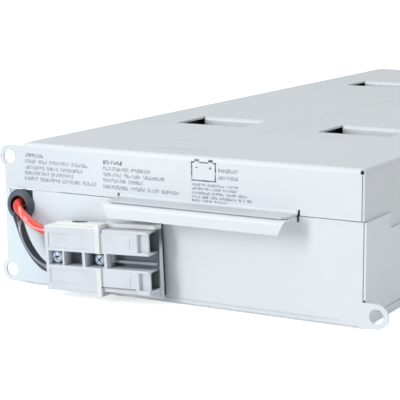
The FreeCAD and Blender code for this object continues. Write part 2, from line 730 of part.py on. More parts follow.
def build_housing():
    """Moulded two-pole housing: two barrels joined by a web with screw pockets and a rib."""
    outer = doc.addObject("PartDesign::Body", "housing_outer")
    outline = rectangle(outer, "housing_outline", "YZ_Plane", CONNECTOR_LEFT, CONNECTOR_FRONT,
                        CONNECTOR_LOW, "connector_thickness", "connector_height")
    solid = pad(outer, "housing_solid", outline, "connector_length")
    ease_edges(outer, "housing_edges", solid, lambda edge: True, "connector_edge")

    rib = doc.addObject("PartDesign::Body", "housing_rib")
    rib_outline = rectangle(rib, "housing_rib_outline", "YZ_Plane", f"{CONNECTOR_LEFT} + rib_start",
                            f"{CONNECTOR_FRONT} - rib_proud", f"{CONNECTOR_LOW} - rib_proud",
                            "connector_thickness + rib_proud", "connector_height + 2 * rib_proud")
    rib_solid = pad(rib, "housing_rib_solid", rib_outline, "rib_width")
    ease_edges(rib, "housing_rib_edges", rib_solid, lambda edge: True, "connector_edge / 2",
               "Chamfer")

    step_left = f"({CONNECTOR_LEFT} + rib_start + rib_width - 1)"
    step_low = "(connector_centre + connector_height / 2 - connector_edge - 1)"
    step_bar = block("housing_step_bar", step_left, f"{CONNECTOR_FRONT} + step_depth", step_low,
                     f"{PIVOT_X} - shroud_length - {step_left}",
                     "connector_thickness - step_depth", "connector_edge + 1 + step_rise")
    notch = block("housing_step_notch", f"{CONNECTOR_LEFT} + step_notch_start",
                  f"{CONNECTOR_FRONT} + step_depth - 1",
                  "connector_centre + connector_height / 2", "step_notch_length",
                  "step_notch_depth + 1", "step_rise + 1")
    mould = fuse("housing_mould", [outer, rib, cut("housing_step", step_bar, [notch])])

    band_low = "(connector_centre - band_height / 2)"
    pocket_y = f"{CONNECTOR_FRONT} - rib_proud - 1"
    deep = "pocket_depth + rib_proud + 1"
    first = f"({CONNECTOR_LEFT} + pocket_rim)"
    second = f"({first} + pocket_one + pocket_wall)"
    third = f"({second} + pocket_two + pocket_wall)"
    slot = f"({third} + pocket_three + pocket_rim)"
    tools = [
        block("pocket_first", first, pocket_y, band_low, "pocket_one", deep, "band_height"),
        block("pocket_second", second, pocket_y, band_low, "pocket_two", deep, "band_height"),
        block("pocket_third", third, pocket_y, band_low, "pocket_three", deep, "band_height"),
    ]
    slot_bar = block("slot_bar", slot, pocket_y, band_low, f"{PIVOT_X} - {slot} + 1", deep,
                     "band_height")
    ridge = block("slot_ridge_bar", f"{slot} + ridge_gap", f"{CONNECTOR_FRONT} + connector_edge",
                  "connector_centre - slot_ridge / 2", "connector_length", "pocket_depth + 1",
                  "slot_ridge")
    tools.append(cut("slot_room", slot_bar, [ridge]))
    for index in range(2):
        x = f"{CONNECTOR_LEFT} + screw_first + {index} * screw_spacing"
        tools.append(rod(f"housing_screw_hole_{index + 1}", ALONG_Y, x, CONNECTOR_FRONT,
                         "connector_centre", "screw_diameter / 2 + screw_clearance",
                         "connector_thickness + 1"))
    shroud_x = f"({PIVOT_X} - shroud_length)"
    for name, pole, middle in (("lower", LOWER_POLE, LOWER_BARREL),
                               ("upper", UPPER_POLE, UPPER_BARREL)):
        low = f"({middle} - {BARREL_HEIGHT} / 2)"
        chamber = f"({CONNECTOR_LEFT} + lead_socket_depth)"
        tools.append(rod(f"{name}_lead_socket", ALONG_X, f"{CONNECTOR_LEFT} - 1", CONNECTOR_AXIS,
                         pole, "lead_diameter / 2 + contact_clearance", "lead_socket_depth + 2"))
        tools.append(rod(f"{name}_chamber", ALONG_X, chamber, CONNECTOR_AXIS, pole,
                         "contact_barrel / 2 + contact_clearance",
                         "contact_barrel_length + contact_clearance"))
        tools.append(block(f"{name}_channel", f"{chamber} + contact_barrel_length - 1",
                           f"{CONNECTOR_AXIS} - contact_blade_gauge / 2 - contact_clearance",
                           f"{pole} - contact_blade_width / 2 - contact_clearance",
                           "connector_length - lead_socket_depth - contact_barrel_length",
                           "contact_blade_gauge + 2 * contact_clearance",
                           "contact_blade_width + 2 * contact_clearance"))
        tools.append(block(f"{name}_mouth", f"{PIVOT_X} - mouth_depth",
                           f"{CONNECTOR_AXIS} - mouth_thickness / 2", f"{low} + mouth_margin",
                           "mouth_depth + 1", "mouth_thickness",
                           f"{BARREL_HEIGHT} - 2 * mouth_margin"))
        tools.append(block(f"{name}_label", f"{CONNECTOR_LEFT} + label_margin",
                           f"{CONNECTOR_FRONT} - 1", f"{low} + label_margin", "label_length",
                           "label_recess + 1", f"{BARREL_HEIGHT} - 2 * label_margin"))
        tools.append(block(f"{name}_shroud_bar", shroud_x, f"{CONNECTOR_FRONT} - 1", f"{low} - 2",
                           "shroud_length + 1", "shroud_depth + 1", f"{BARREL_HEIGHT} + 4"))
    return finish(lean(cut("housing", mould, tools)), "connector_housing")


def build_contacts():
    """Crimp contacts: a round barrel for the lead and a flat blade that reaches the mouth."""
    chamber = f"({CONNECTOR_LEFT} + lead_socket_depth)"
    for name, pole in (("lower", LOWER_POLE), ("upper", UPPER_POLE)):
        barrel = rod(f"{name}_barrel", ALONG_X, chamber, CONNECTOR_AXIS, pole,
                     "contact_barrel / 2", "contact_barrel_length")
        blade = block(f"{name}_blade", f"{chamber} + contact_barrel_length - 1",
                      f"{CONNECTOR_AXIS} - contact_blade_gauge / 2",
                      f"{pole} - contact_blade_width / 2",
                      "connector_length - lead_socket_depth - contact_barrel_length - mouth_depth / 2",
                      "contact_blade_gauge", "contact_blade_width")
        finish(lean(fuse(f"{name}_contact", [barrel, blade])), f"contact_{name}")


def build_connector_mounts():
    """Two screws through the housing, a spacer and the panel, each with a nut behind."""
    screws = []
    spacers = []
    nuts = []
    seat = f"({CONNECTOR_FRONT} + pocket_depth)"
    nut_face = f"({FRONT} + gauge)"
    for index in range(2):
        x = f"({CONNECTOR_LEFT} + screw_first + {index} * screw_spacing)"
        name = f"screw_{index + 1}"
        head = rod(f"{name}_head", ALONG_Y, x, f"{seat} - screw_head_height", "connector_centre",
                   "screw_head_diameter / 2", "screw_head_height")
        shank = rod(f"{name}_shank", ALONG_Y, x, f"{seat} - 0.5", "connector_centre",
                    "screw_diameter / 2", f"{nut_face} + nut_height + 1.5 - {seat} + 0.5")
        whole = fuse(f"{name}_whole", [head, shank])
        arms = [block(f"{name}_recess_{way}", f"{x} - screw_head_diameter * {across / 2}",
                      f"{seat} - screw_head_height - 1",
                      f"connector_centre - screw_head_diameter * {up / 2}",
                      f"screw_head_diameter * {across}", "screw_head_height / 2 + 1",
                      f"screw_head_diameter * {up}")
                for way, across, up in (("wide", 0.6, 0.14), ("tall", 0.14, 0.6))]
        screws.append(lean(cut(name, whole, arms)))
        sleeve = rod(f"spacer_{index + 1}_sleeve", ALONG_Y, x, CONNECTOR_BACK, "connector_centre",
                     "spacer_radius", "connector_standoff")
        sleeve_hole = rod(f"spacer_{index + 1}_hole", ALONG_Y, x, f"{CONNECTOR_BACK} - 1",
                          "connector_centre", "screw_diameter / 2 + screw_clearance",
                          "connector_standoff + 2")
        spacers.append(lean(cut(f"spacer_{index + 1}", sleeve, [sleeve_hole])))
        prism = doc.addObject("Part::Prism", f"nut_{index + 1}_hex")
        prism.Polygon = 6
        bind(prism, "Circumradius", "nut_width / sqrt(3)")
        bind(prism, "Height", "nut_height")
        place(prism, x, nut_face, "connector_centre", ALONG_Y)
        nut_hole = rod(f"nut_{index + 1}_hole", ALONG_Y, x, f"{nut_face} - 1", "connector_centre",
                       "screw_diameter / 2 + screw_clearance / 2", "nut_height + 2")
        nuts.append(lean(cut(f"nut_{index + 1}", prism, [nut_hole])))
    group("connector_screws", screws)
    group("connector_spacers", spacers)
    group("connector_nuts", nuts)


def build_fuse():
    """Fuse block on the floor of the front bay, with a cartridge between its two clips."""
    x = "(-fuse_block_length / 2)"
    y = f"({FRONT} + fuse_block_back - fuse_block_width / 2)"
    base = block("fuse_base", x, y, "gauge", "fuse_block_length", "fuse_block_width",
                 "fuse_block_height")
    bed = rod("fuse_bed", ALONG_X, f"{x} - 1", f"{y} + fuse_block_width / 2",
              "gauge + fuse_block_height + fuse_diameter / 4", "fuse_diameter / 2 + 0.1",
              "fuse_block_length + 2")
    finish(cut("fuse_holder", base, [bed]), "fuse_block")
    height = "gauge + fuse_block_height + fuse_diameter / 4"
    tube = rod("fuse_tube", ALONG_X, "-fuse_length / 2 + 1", f"{y} + fuse_block_width / 2", height,
               "fuse_diameter / 2 - 0.5", "fuse_length - 2")
    caps = [rod(f"fuse_cap_{index + 1}", ALONG_X, start, f"{y} + fuse_block_width / 2", height,
                "fuse_diameter / 2", "fuse_cap_length")
            for index, start in enumerate(("-fuse_length / 2", "fuse_length / 2 - fuse_cap_length"))]
    finish(fuse("fuse_whole", [tube] + caps), "fuse_cartridge")


def build_rear_screws():
    """Two screws that close the cover to the tray at the back."""
    screws = []
    for index, side in enumerate((-1, 1)):
        head = rod(f"rear_head_{index + 1}", ALONG_Y, f"{side} * rear_screw_offset",
                   "body_depth / 2", "rear_screw_height", "screw_head_diameter / 2",
                   "screw_head_height * 0.7")
        shank = rod(f"rear_shank_{index + 1}", ALONG_Y, f"{side} * rear_screw_offset",
                    f"{COVER_BACK} - gauge - rear_screw_reach", "rear_screw_height",
                    "screw_diameter / 2",
                    f"body_depth / 2 - {COVER_BACK} + gauge + rear_screw_reach + 0.5")
        screws.append(fuse(f"rear_screw_{index + 1}", [head, shank]))
    group("rear_screws", screws)


def build_cross_link():
    """Bar behind the last row that puts the two columns in series."""
    y = f"({row_front(ROWS - 1)} + block_length + cross_link_back)"
    arms = []
    low = f"{BLOCK_LOW} + blade_height + blade_gauge"
    for column in ("left", "right"):
        x, blade_y, _ = blade_places(column, ROWS - 1)[1]
        arms.append(block(f"cross_arm_{column}", f"{x} + (blade_reach - link_size) / 2", blade_y, low,
                          "link_size", f"{y} + link_size - {blade_y}", "link_size"))
    half = "(column_divider / 2 + block_height + (blade_reach + link_size) / 2)"
    arms.append(block("cross_bar", f"-{half}", y, low, f"2 * {half}", "link_size", "link_size"))
    finish(fuse("cross_whole", arms), "cross_link")


def lead(label, points):
    """A lead of the sheet's diameter: straight runs joined by tangent arcs."""
    corners = [FreeCAD.Vector(*point) for point in points]
    runs = [(after - before).Length for before, after in zip(corners, corners[1:])]
    edges = []
    radii = []
    start = corners[0]
    for index in range(1, len(corners) - 1):
        back = (corners[index - 1] - corners[index]).normalize()
        ahead = (corners[index + 1] - corners[index]).normalize()
        reach = 0.45 * min(runs[index - 1], runs[index])
        enter = corners[index] + back * reach
        leave = corners[index] + ahead * reach
        half_turn = (math.pi - back.getAngle(ahead)) / 2
        radius = reach / math.tan(half_turn)
        centre = corners[index] + (back + ahead).normalize() * (radius ** 2 + reach ** 2) ** 0.5
        middle = centre + (corners[index] - centre).normalize() * radius
        edges.append(Part.LineSegment(start, enter).toShape())
        edges.append(Part.Arc(enter, middle, leave).toShape())
        radii.append(radius)
        start = leave
    edges.append(Part.LineSegment(start, corners[-1]).toShape())
    path = Part.Wire(edges)
    radius = size("lead_diameter") / 2
    section = Part.Wire(Part.Circle(corners[0], corners[1] - corners[0], radius).toShape())
    tube = path.makePipeShell([section], True, False)
    expected = math.pi * radius ** 2 * path.Length
    print(label, "length", round(path.Length, 1), "radii", [round(value, 1) for value in radii],
          "volume over section by length", round(tube.Volume / expected, 4))
    item = doc.addObject("Part::Feature", label)
    item.Shape = tube
    item.Placement = FreeCAD.Placement()
    return finish(item, label)


def hung_point(x, y, z):
    """The point that the connector's lean takes a point to, as numbers."""
    rise = size("connector_rise") / size("connector_length")
    run = math.sqrt(1 - rise ** 2)
    pivot_x = -size("body_width") / 2 + size("connector_start") + size("connector_length")
    across = x - pivot_x
    up = z - size("connector_centre")
    return (pivot_x + across * run - up * rise, y,
            size("connector_centre") + across * rise + up * run)


def build_leads():
    """Leads from the connector through the grommet, and on to the fuse and the end blocks."""
    left = -size("body_width") / 2
    front = -size("body_depth") / 2
    split = size("lead_split") / 2
    exit_x = left + size("grommet_shift")
    red_height = size("grommet_height") + split
    black_height = size("grommet_height") - split
    barrel = (size("connector_height") - size("band_height")) / 2
    middle = size("connector_centre") + size("pole_raise")
    reach = size("connector_height") / 2 - barrel / 2
    plug_y = front - size("connector_standoff") - size("connector_thickness") / 2
    plug_x = left + size("connector_start")
    seat_x = plug_x + size("lead_socket_depth")
    lead("lead_red", [
        (exit_x, front, red_height), (exit_x, front - 6.4, red_height),
        (left + 10.0, front - 12.0, red_height - 6.9),
        (left + 19.5, front - 12.2, red_height - 11.9),
        hung_point(plug_x - 2.0, plug_y, middle + reach),
        hung_point(seat_x, plug_y, middle + reach)])
    lead("lead_black", [
        (exit_x, front, black_height), (exit_x, front - 6.0, black_height),
        (left + 6.2, front - 11.6, black_height - 5.1),
        (left + 11.8, front - 12.2, black_height - 15.9),
        (left + 17.6, front - 12.0, black_height - 25.9),
        hung_point(plug_x - 3.3, plug_y, middle - reach),
        hung_point(seat_x, plug_y, middle - reach)])

    blade_z = size("gauge") + size("floor_foam") + size("blade_height") + size("blade_gauge") / 2
    end_x = size("column_divider") / 2 + size("block_height") + size("lead_diameter") / 2 + 0.2
    first_row = front + size("tongue_front") - size("block_gap") - size("block_length")
    end_y = first_row + size("blade_from_end") - size("blade_width") / 2
    lead("inner_lead_black", [
        (exit_x, front, black_height), (exit_x, front + 16.0, black_height),
        (-end_x - 0.4, front + 35.0, blade_z - 1.0), (-end_x, end_y - 18.0, blade_z),
        (-end_x, end_y, blade_z)])
    fuse_y = front + size("fuse_block_back")
    fuse_z = size("gauge") + size("fuse_block_height") + size("fuse_diameter") / 4
    fuse_x = size("fuse_length") / 2
    lead("inner_lead_red", [
        (exit_x, front, red_height), (exit_x, front + 16.0, red_height),
        (exit_x + 19.3, front + 33.0, red_height - 5.5), (-fuse_x - 26.0, fuse_y, fuse_z),
        (-fuse_x, fuse_y, fuse_z)])
    lead("inner_lead_fuse", [
        (fuse_x, fuse_y, fuse_z), (fuse_x + 21.0, fuse_y, fuse_z),
        (end_x - 23.0, end_y - 37.0, blade_z - 8.6), (end_x, end_y - 17.5, blade_z),
        (end_x, end_y, blade_z)])


ROWS = count_rows()
build_tray()
build_front_panel()
build_cover()
for block_column in ("left", "right"):
    for block_row in range(ROWS):
        build_block(block_column, block_row)
build_links()
build_cross_link()
build_foams()
build_grommet()
build_housing()
build_contacts()
build_connector_mounts()
build_fuse()
build_rear_screws()
doc.recompute()
build_leads()
doc.recompute()

failed = [item.Name for item in doc.Objects if {"Invalid", "Error"} & set(item.State)]
if failed:
    raise RuntimeError(f"failed objects: {failed}")
for item in NODES:
    if item.Shape.isNull() or not item.Shape.isValid():
        raise RuntimeError(f"{item.Label} has no valid shape")

os.makedirs("parts", exist_ok=True)
for item in NODES:
    item.Shape.exportStep(f"parts/{item.Label}.step")
    print(item.Label, len(item.Shape.Solids), round(item.Shape.Volume, 1))
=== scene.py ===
"""Looks of a battery cartridge: painted sheet, plug, leads and print, over the solid model."""

import logging
import math
from dataclasses import dataclass, field
from enum import Enum
from typing import Any, Optional, Sequence

import bmesh
import bpy
import numpy as np
from mathutils import Matrix, Vector

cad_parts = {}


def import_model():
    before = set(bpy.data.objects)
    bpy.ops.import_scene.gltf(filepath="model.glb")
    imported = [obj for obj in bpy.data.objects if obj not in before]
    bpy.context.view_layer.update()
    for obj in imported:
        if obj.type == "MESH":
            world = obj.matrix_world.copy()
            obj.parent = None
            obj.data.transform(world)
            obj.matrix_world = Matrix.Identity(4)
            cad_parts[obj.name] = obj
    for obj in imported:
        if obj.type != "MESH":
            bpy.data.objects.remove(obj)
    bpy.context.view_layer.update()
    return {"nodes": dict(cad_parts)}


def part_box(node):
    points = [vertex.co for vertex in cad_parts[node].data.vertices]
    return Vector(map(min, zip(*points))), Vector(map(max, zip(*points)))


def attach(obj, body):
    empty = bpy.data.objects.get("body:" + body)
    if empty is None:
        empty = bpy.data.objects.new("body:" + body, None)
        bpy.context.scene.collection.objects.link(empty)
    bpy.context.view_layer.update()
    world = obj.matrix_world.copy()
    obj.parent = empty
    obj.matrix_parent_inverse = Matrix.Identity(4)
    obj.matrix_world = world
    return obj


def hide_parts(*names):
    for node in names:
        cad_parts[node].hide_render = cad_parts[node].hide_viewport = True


LOG = logging.getLogger("battery_cartridge")
MM = 0.001
Point = tuple[float, float, float]
Colour = tuple[float, float, float]
Span = tuple[float, float]


class Gloss(Enum):
    """Roughness of the finishes, from wet-looking to dull."""

    GLAZED = 0.22
    SATIN = 0.42
    SOFT = 0.58
    DULL = 0.8


class Grain(Enum):
    """Sizes of the patterns in cells to the metre, from wide clouds to a mould's grain."""

    CLOUDS = 9.0
    RIPPLES = 14.0
    PATCHES = 23.0
    SPECKS = 42.0
    SMEARS = 60.0
    MOTTLING = 70.0
    SHREDS = 120.0
    SCUFFS = 160.0
    SHEEN = 300.0
    STAINS = 400.0
    WEAR = 420.0
    DRAWN = 500.0
    PITS = 900.0
    PEEL = 1400.0
    SPARKED = 2600.0


def linear(red: int, green: int, blue: int) -> Colour:
    """Turn an 8-bit display colour into a linear one.

    Args:
        red: Red from 0 to 255.
        green: Green from 0 to 255.
        blue: Blue from 0 to 255.

    Returns:
        The linear colour, each part from 0 to 1.
    """
    parts = np.array([red, green, blue]) / 255.0
    curve = np.where(parts <= 0.04045, parts / 12.92, ((parts + 0.055) / 1.055) ** 2.4)
    return tuple(float(part) for part in curve)


class Mask:
    """A number socket that takes Python arithmetic."""

    def __init__(self, nodes: "Nodes", socket: Any) -> None:
        """Wrap one output socket of a node tree."""
        self.nodes = nodes
        self.socket = socket

    def _math(self, operation: str, first: Any, second: Any) -> "Mask":
        """Add one Math node on two values.

        Args:
            operation: The Math node's operation.
            first: A mask or a number.
            second: A mask or a number.

        Returns:
            The result as a mask.
        """
        node = self.nodes.node("ShaderNodeMath", {"operation": operation}, {0: first, 1: second})
        return Mask(self.nodes, node.outputs[0])

    def __add__(self, other: Any) -> "Mask":
        """Sum."""
        return self._math("ADD", self, other)

    __radd__ = __add__

    def __mul__(self, other: Any) -> "Mask":
        """Product."""
        return self._math("MULTIPLY", self, other)

    __rmul__ = __mul__

    def __sub__(self, other: Any) -> "Mask":
        """Difference."""
        return self._math("SUBTRACT", self, other)

    def __rsub__(self, other: Any) -> "Mask":
        """Difference with the mask on the right."""
        return self._math("SUBTRACT", other, self)

    def above(self, limit: float) -> "Mask":
        """One where the value is over a limit, else zero."""
        return self._math("GREATER_THAN", self, limit)

    def below(self, limit: float) -> "Mask":
        """One where the value is at most a limit, else zero."""
        return 1.0 - self.above(limit)

    def ramp(self, low: float, high: float) -> "Mask":
        """Zero below low, one above high, smooth between.

        Args:
            low: Where the ramp starts.
            high: Where it ends.

        Returns:
            The ramped mask.
        """
        node = self.nodes.node("ShaderNodeMapRange", {"interpolation_type": "SMOOTHSTEP"},
                               {0: self, 1: low, 2: high, 3: 0.0, 4: 1.0})
        return Mask(self.nodes, node.outputs[0])

    def fall(self, low: float, high: float) -> "Mask":
        """One below low, zero above high, smooth between."""
        return 1.0 - self.ramp(low, high)

    def between(self, start: Span, end: Span) -> "Mask":
        """One from the end of one ramp to the start of the other, zero outside both."""
        return self.ramp(*start) * self.fall(*end)

    def near(self, middle: float, edge: Span) -> "Mask":
        """One close to a value and zero far from it.

        Args:
            middle: The value.
            edge: The distances from it at which the mask starts to fall and is zero.

        Returns:
            The mask.
        """
        return self._math("ABSOLUTE", self - middle, 0.0).fall(*edge)


class Nodes:
    """A node tree, with one way to add a node to it."""

    def __init__(self, tree: Any) -> None:
        """Take a tree."""
        self.tree = tree

    def node(self, kind: str, settings: dict[str, Any], inputs: dict[Any, Any]) -> Any:
        """Add a node.

        Args:
            kind: The node's type.
            settings: Its own settings, set first.
            inputs: Values, masks or sockets, by input name or number.

        Returns:
            The new node.
        """
        made = self.tree.nodes.new(kind)
        for key, value in settings.items():
            setattr(made, key, value)
        for key, value in inputs.items():
            self.feed(made.inputs[key], value)
        return made

    def feed(self, socket: Any, value: Any) -> None:
        """Set an input to a value, or link it.

        Args:
            socket: The input.
            value: A number, a tuple, a mask or an output socket.
        """
        if isinstance(value, Mask):
            self.tree.links.new(value.socket, socket)
        elif isinstance(value, bpy.types.NodeSocket):
            self.tree.links.new(value, socket)
        else:
            socket.default_value = value


class Graph(Nodes):
    """The nodes of one material, on the piece's own Object coordinates."""

    def __init__(self, name: str) -> None:
        """Start a material with one Principled shader.

        Args:
            name: The material's name.
        """
        self.material = bpy.data.materials.new(name)
        self.material.use_nodes = True
        super().__init__(self.material.node_tree)
        self.shader = self.tree.nodes["Principled BSDF"]
        self.place = self.node("ShaderNodeTexCoord", {}, {}).outputs["Object"]

    def axes(self) -> list[Mask]:
        """The three Object coordinates as masks, in metres."""
        made = self.node("ShaderNodeSeparateXYZ", {}, {0: self.place})
        return [Mask(self, output) for output in made.outputs]

    def stretched(self, scale: Point) -> Any:
        """Object coordinates stretched by a factor along each axis."""
        made = self.node("ShaderNodeMapping", {}, {"Vector": self.place, "Scale": scale})
        return made.outputs[0]

    def noise(self, grain: Grain, detail: float = 3.0, place: Optional[Any] = None) -> Mask:
        """Cloudy noise from 0 to 1.

        Args:
            grain: The size of its cells.
            detail: How many finer layers it has.
            place: Other coordinates than the piece's own.

        Returns:
            The noise as a mask.
        """
        made = self.node("ShaderNodeTexNoise", {}, {"Vector": place or self.place,
                                                    "Scale": grain.value, "Detail": detail})
        return Mask(self, made.outputs[0])

    def cells(self, grain: Grain) -> Mask:
        """Distance to the nearest of scattered points, in cells."""
        made = self.node("ShaderNodeTexVoronoi", {}, {"Vector": self.place, "Scale": grain.value})
        return Mask(self, made.outputs["Distance"])

    def blend(self, amount: Any, under: Any, over: Any) -> Any:
        """Mix two colours.

        Args:
            amount: How much of the second, a mask or a number.
            under: First colour or socket.
            over: Second colour or socket.

        Returns:
            The mixed colour's socket.
        """
        made = self.node("ShaderNodeMix", {"data_type": "RGBA"}, {"Factor": amount})
        for key, value in ((6, under), (7, over)):
            self.feed(made.inputs[key], (*value, 1.0) if isinstance(value, tuple) else value)
        return made.outputs[2]

    def bump(self, height: Mask, distance: float) -> None:
        """Raise the surface by a mask.

        Args:
            height: The mask.
            distance: Height of a full mask, in metres.
        """
        made = self.node("ShaderNodeBump", {}, {"Height": height, "Distance": distance})
        self.feed(self.shader.inputs["Normal"], made.outputs[0])

    def surface(self, colour: Any, roughness: Any, metallic: float = 0.0) -> None:
        """Feed the shader's main inputs.

        Args:
            colour: A colour or a socket.
            roughness: A number or a mask.
            metallic: Share of metal.
        """
        self.feed(self.shader.inputs["Base Color"],
                  (*colour, 1.0) if isinstance(colour, tuple) else colour)
        self.feed(self.shader.inputs["Roughness"], roughness)
        self.feed(self.shader.inputs["Metallic"], metallic)


@dataclass(frozen=True)
class PowderCoat:
    """Satin powder coat on sheet steel: orange peel, faint clouding and a few specks.

    In the coats, places are Object coordinates in metres, and a pair of them gives where a
    change starts and where it ends.
    """

    paint: Colour = linear(226, 230, 233)
    # The grime tone darkens the faint clouding, and is also the painted shade of folds and creases.
    grime_and_shade: Colour = linear(178, 182, 184)
    speck: Colour = linear(120, 122, 124)
    clouding: float = 0.05
    specking: float = 0.55
    peel: float = 0.6
    ripple: float = 2.5
    dent: float = 3.0
    relief: float = 0.00006

    def tones(self, graph: Graph, shade: Any) -> tuple[Any, Any]:
        """Lay a piece's painted light and shade over the paint; the plain coat has none.

        Args:
            graph: The material's graph; not used by the plain coat.
            shade: The clouded paint.

        Returns:
            The toned paint, and the dents as a mask, or 0 where there are none.
        """
        return shade, 0.0

    def material(self) -> bpy.types.Material:
        """Build the material.

        Returns:
            The material.
        """
        graph = Graph("powder_coat")
        cloud = graph.noise(Grain.CLOUDS, 4.0).ramp(0.35, 0.75)
        patches = graph.noise(Grain.PATCHES, 2.0).ramp(0.6, 0.64)
        specks = graph.cells(Grain.SPECKS).fall(0.018, 0.03) * patches
        paint = graph.blend(cloud * self.clouding, self.paint, self.grime_and_shade)
        shade, dents = self.tones(graph, paint)
        graph.surface(graph.blend(specks * self.specking, shade, self.speck),
                      graph.noise(Grain.SMEARS) * 0.1 + (Gloss.SATIN.value - 0.05))
        relief = graph.noise(Grain.PEEL, 2.0) * self.peel
        relief = relief + graph.noise(Grain.RIPPLES, 1.0) * self.ripple
        graph.bump(relief - dents * self.dent, self.relief)
        return graph.material


@dataclass(frozen=True)
class PanelCoat(PowderCoat):
    """The front panel's coat: a painted cool light by its left end, and a fold line over the foot
    painted darker as shade.
    """

    # Painted cool light at the left end:
    painted_cool_light: Colour = linear(226, 243, 255)
    painted_cool_light_share: float = 0.35
    painted_cool_light_end: Span = (-0.085, -0.055)
    fold: float = 0.0031
    fold_edge: Span = (0.0002, 0.0008)
    fold_ends: tuple[Span, Span] = ((-0.05, -0.01), (0.085, 0.098))
    fold_share: float = 0.4

    def tones(self, graph: Graph, shade: Any) -> tuple[Any, Any]:
        """Lay the painted cool light at the left end and the painted shade of the fold line over the
        paint.

        Args:
            graph: The material's graph.
            shade: The clouded paint.

        Returns:
            The toned paint, and 0 because the panel has no dents.
        """
        x, _, z = graph.axes()
        # Painted cool light by the left end.
        shade = graph.blend(x.fall(*self.painted_cool_light_end) * self.painted_cool_light_share, shade, self.painted_cool_light)
        # Painted shade along the fold line over the foot.
        fold = z.near(self.fold, self.fold_edge) * x.between(*self.fold_ends)
        return graph.blend(fold * self.fold_share, shade, self.grime_and_shade), 0.0


@dataclass(frozen=True)
class CoverCoat(PowderCoat):
    """The cover's coat: painted light and shade on some of its faces, and soft lines and dents on
    its top, bumped in and painted darker as shade.

    A crease is its left end, its right end, its place from front to back and its share.
    """

    creases: tuple[tuple[float, float, float, float], ...] = (
        (-0.034, 0.008, -0.2500, 0.6), (-0.044, -0.012, -0.2200, 0.25))
    crease_edge: Span = (0.0002, 0.0013)
    crease_fade: float = 0.008
    wander: float = 0.004
    line_edge: Span = (0.0003, 0.0009)
    line_start: Span = (-0.18, -0.176)
    line_share: float = 0.35
    top: float = 0.0825
    ceiling: float = 0.0819
    # Painted light inside the cover, seen through its windows:
    painted_window_light: Colour = linear(252, 253, 255)
    inner_half: Span = (0.1040, 0.1045)
    inner_front: float = -0.262
    # Painted shade on the front flange towards its left end:
    flange_shade: Colour = linear(205, 213, 223)
    flange_shade_share: float = 0.45
    flange_front: float = -0.2695
    flange_shade_fade: Span = (-0.125, -0.02)
    # Painted shade on the right wall and on the shelf:
    flank_shade: Colour = linear(203, 206, 209)
    flank_shade_share: float = 0.45
    right_wall: float = 0.1055
    shelf_back: float = -0.2725
    shelf_top: float = 0.0590

    def dents(self, graph: Graph) -> Mask:
        """The top's middle line, and creases that wander and fade in and out; bumped in and painted
        as shade.

        Args:
            graph: The material's graph.

        Returns:
            The mask of all lines.
        """
        x, y, z = graph.axes()
        lines = x.near(0.0, self.line_edge) * y.ramp(*self.line_start) * self.line_share
        wander = graph.noise(Grain.SMEARS, 1.0) * self.wander - self.wander / 2
        for left, right, deep, share in self.creases:
            fades = (left, left + self.crease_fade), (right - self.crease_fade, right)
            line = (y - deep + wander).near(0.0, self.crease_edge)
            lines = lines + line * x.between(*fades) * share
        return lines * z.above(self.top)

    def tones(self, graph: Graph, shade: Any) -> tuple[Any, Any]:
        """Lay painted light inside the windows, and painted shade on the flange's left, on the right
        wall with the shelf, and in the dents.

        Args:
            graph: The material's graph.
            shade: The clouded paint.

        Returns:
            The toned paint and the mask of the dents.
        """
        x, y, z = graph.axes()
        # Painted light inside the windows.
        painted_window_light = x.near(0.0, self.inner_half) * y.above(self.inner_front) * z.below(self.ceiling)
        shade = graph.blend(painted_window_light, shade, self.painted_window_light)
        # Painted shade on the front flange towards its left end.
        flange_shade = x.fall(*self.flange_shade_fade) * y.below(self.flange_front) * self.flange_shade_share
        shade = graph.blend(flange_shade, shade, self.flange_shade)
        # Painted shade on the right wall and the shelf.
        shelf = y.below(self.shelf_back) * z.below(self.shelf_top)
        flank_shade = x.above(self.right_wall) * self.flank_shade_share + shelf
        shade = graph.blend(flank_shade, shade, self.flank_shade)
        dents = self.dents(graph)
        # The dents are bumped in and painted darker as shade.
        return graph.blend(dents, shade, self.grime_and_shade), dents


@dataclass(frozen=True)
class Moulding:
    """Moulded plastic: even colour, faint mottling and a fine spark-eroded grain."""

    name: str
    colour: Colour
    gloss: Gloss = Gloss.SOFT
    relief: float = 0.00003

    def material(self) -> bpy.types.Material:
        """Build the material.

        Returns:
            The material.
        """
        graph = Graph(self.name)
        darker = tuple(part * 0.88 for part in self.colour)
        mottling = graph.noise(Grain.MOTTLING).ramp(0.4, 0.7) * 0.5
        graph.surface(graph.blend(mottling, self.colour, darker),
                      graph.noise(Grain.SHEEN) * 0.12 + (self.gloss.value - 0.06))
        graph.bump(graph.noise(Grain.SPARKED, 2.0), self.relief)
        return graph.material


@dataclass(frozen=True)
class PlatedMetal:
    """Plated metal: fine drawn lines along one axis over a bright base."""

    name: str
    colour: Colour
    roughness: float = 0.32
    draw: Point = (0.08, 1.0, 1.0)
    relief: float = 0.00002

    def material(self) -> bpy.types.Material:
        """Build the material.

        Returns:
            The material.
        """
        graph = Graph(self.name)
        lines = graph.noise(Grain.DRAWN, 3.0, graph.stretched(self.draw))
        duller = tuple(part * 0.72 for part in self.colour)
        graph.surface(graph.blend(lines.ramp(0.3, 0.8), self.colour, duller),
                      lines * 0.2 + (self.roughness - 0.1), 1.0)
        graph.bump(lines, self.relief)
        return graph.material


@dataclass(frozen=True)
class Foam:
    """Closed-cell foam: dark, dull and pitted, with painted shade in its pits."""

    colour: Colour = linear(58, 58, 62)
    relief: float = 0.0003

    def material(self) -> bpy.types.Material:
        """Build the material.

        Returns:
            The material.
        """
        graph = Graph("cell_foam")
        pits = graph.cells(Grain.PITS)
        # Painted shade: darker in the pits.
        deep = tuple(part * 0.5 for part in self.colour)
        graph.surface(graph.blend(pits.ramp(0.2, 0.7), deep, self.colour), Gloss.DULL.value)
        graph.bump(pits, self.relief)
        return graph.material


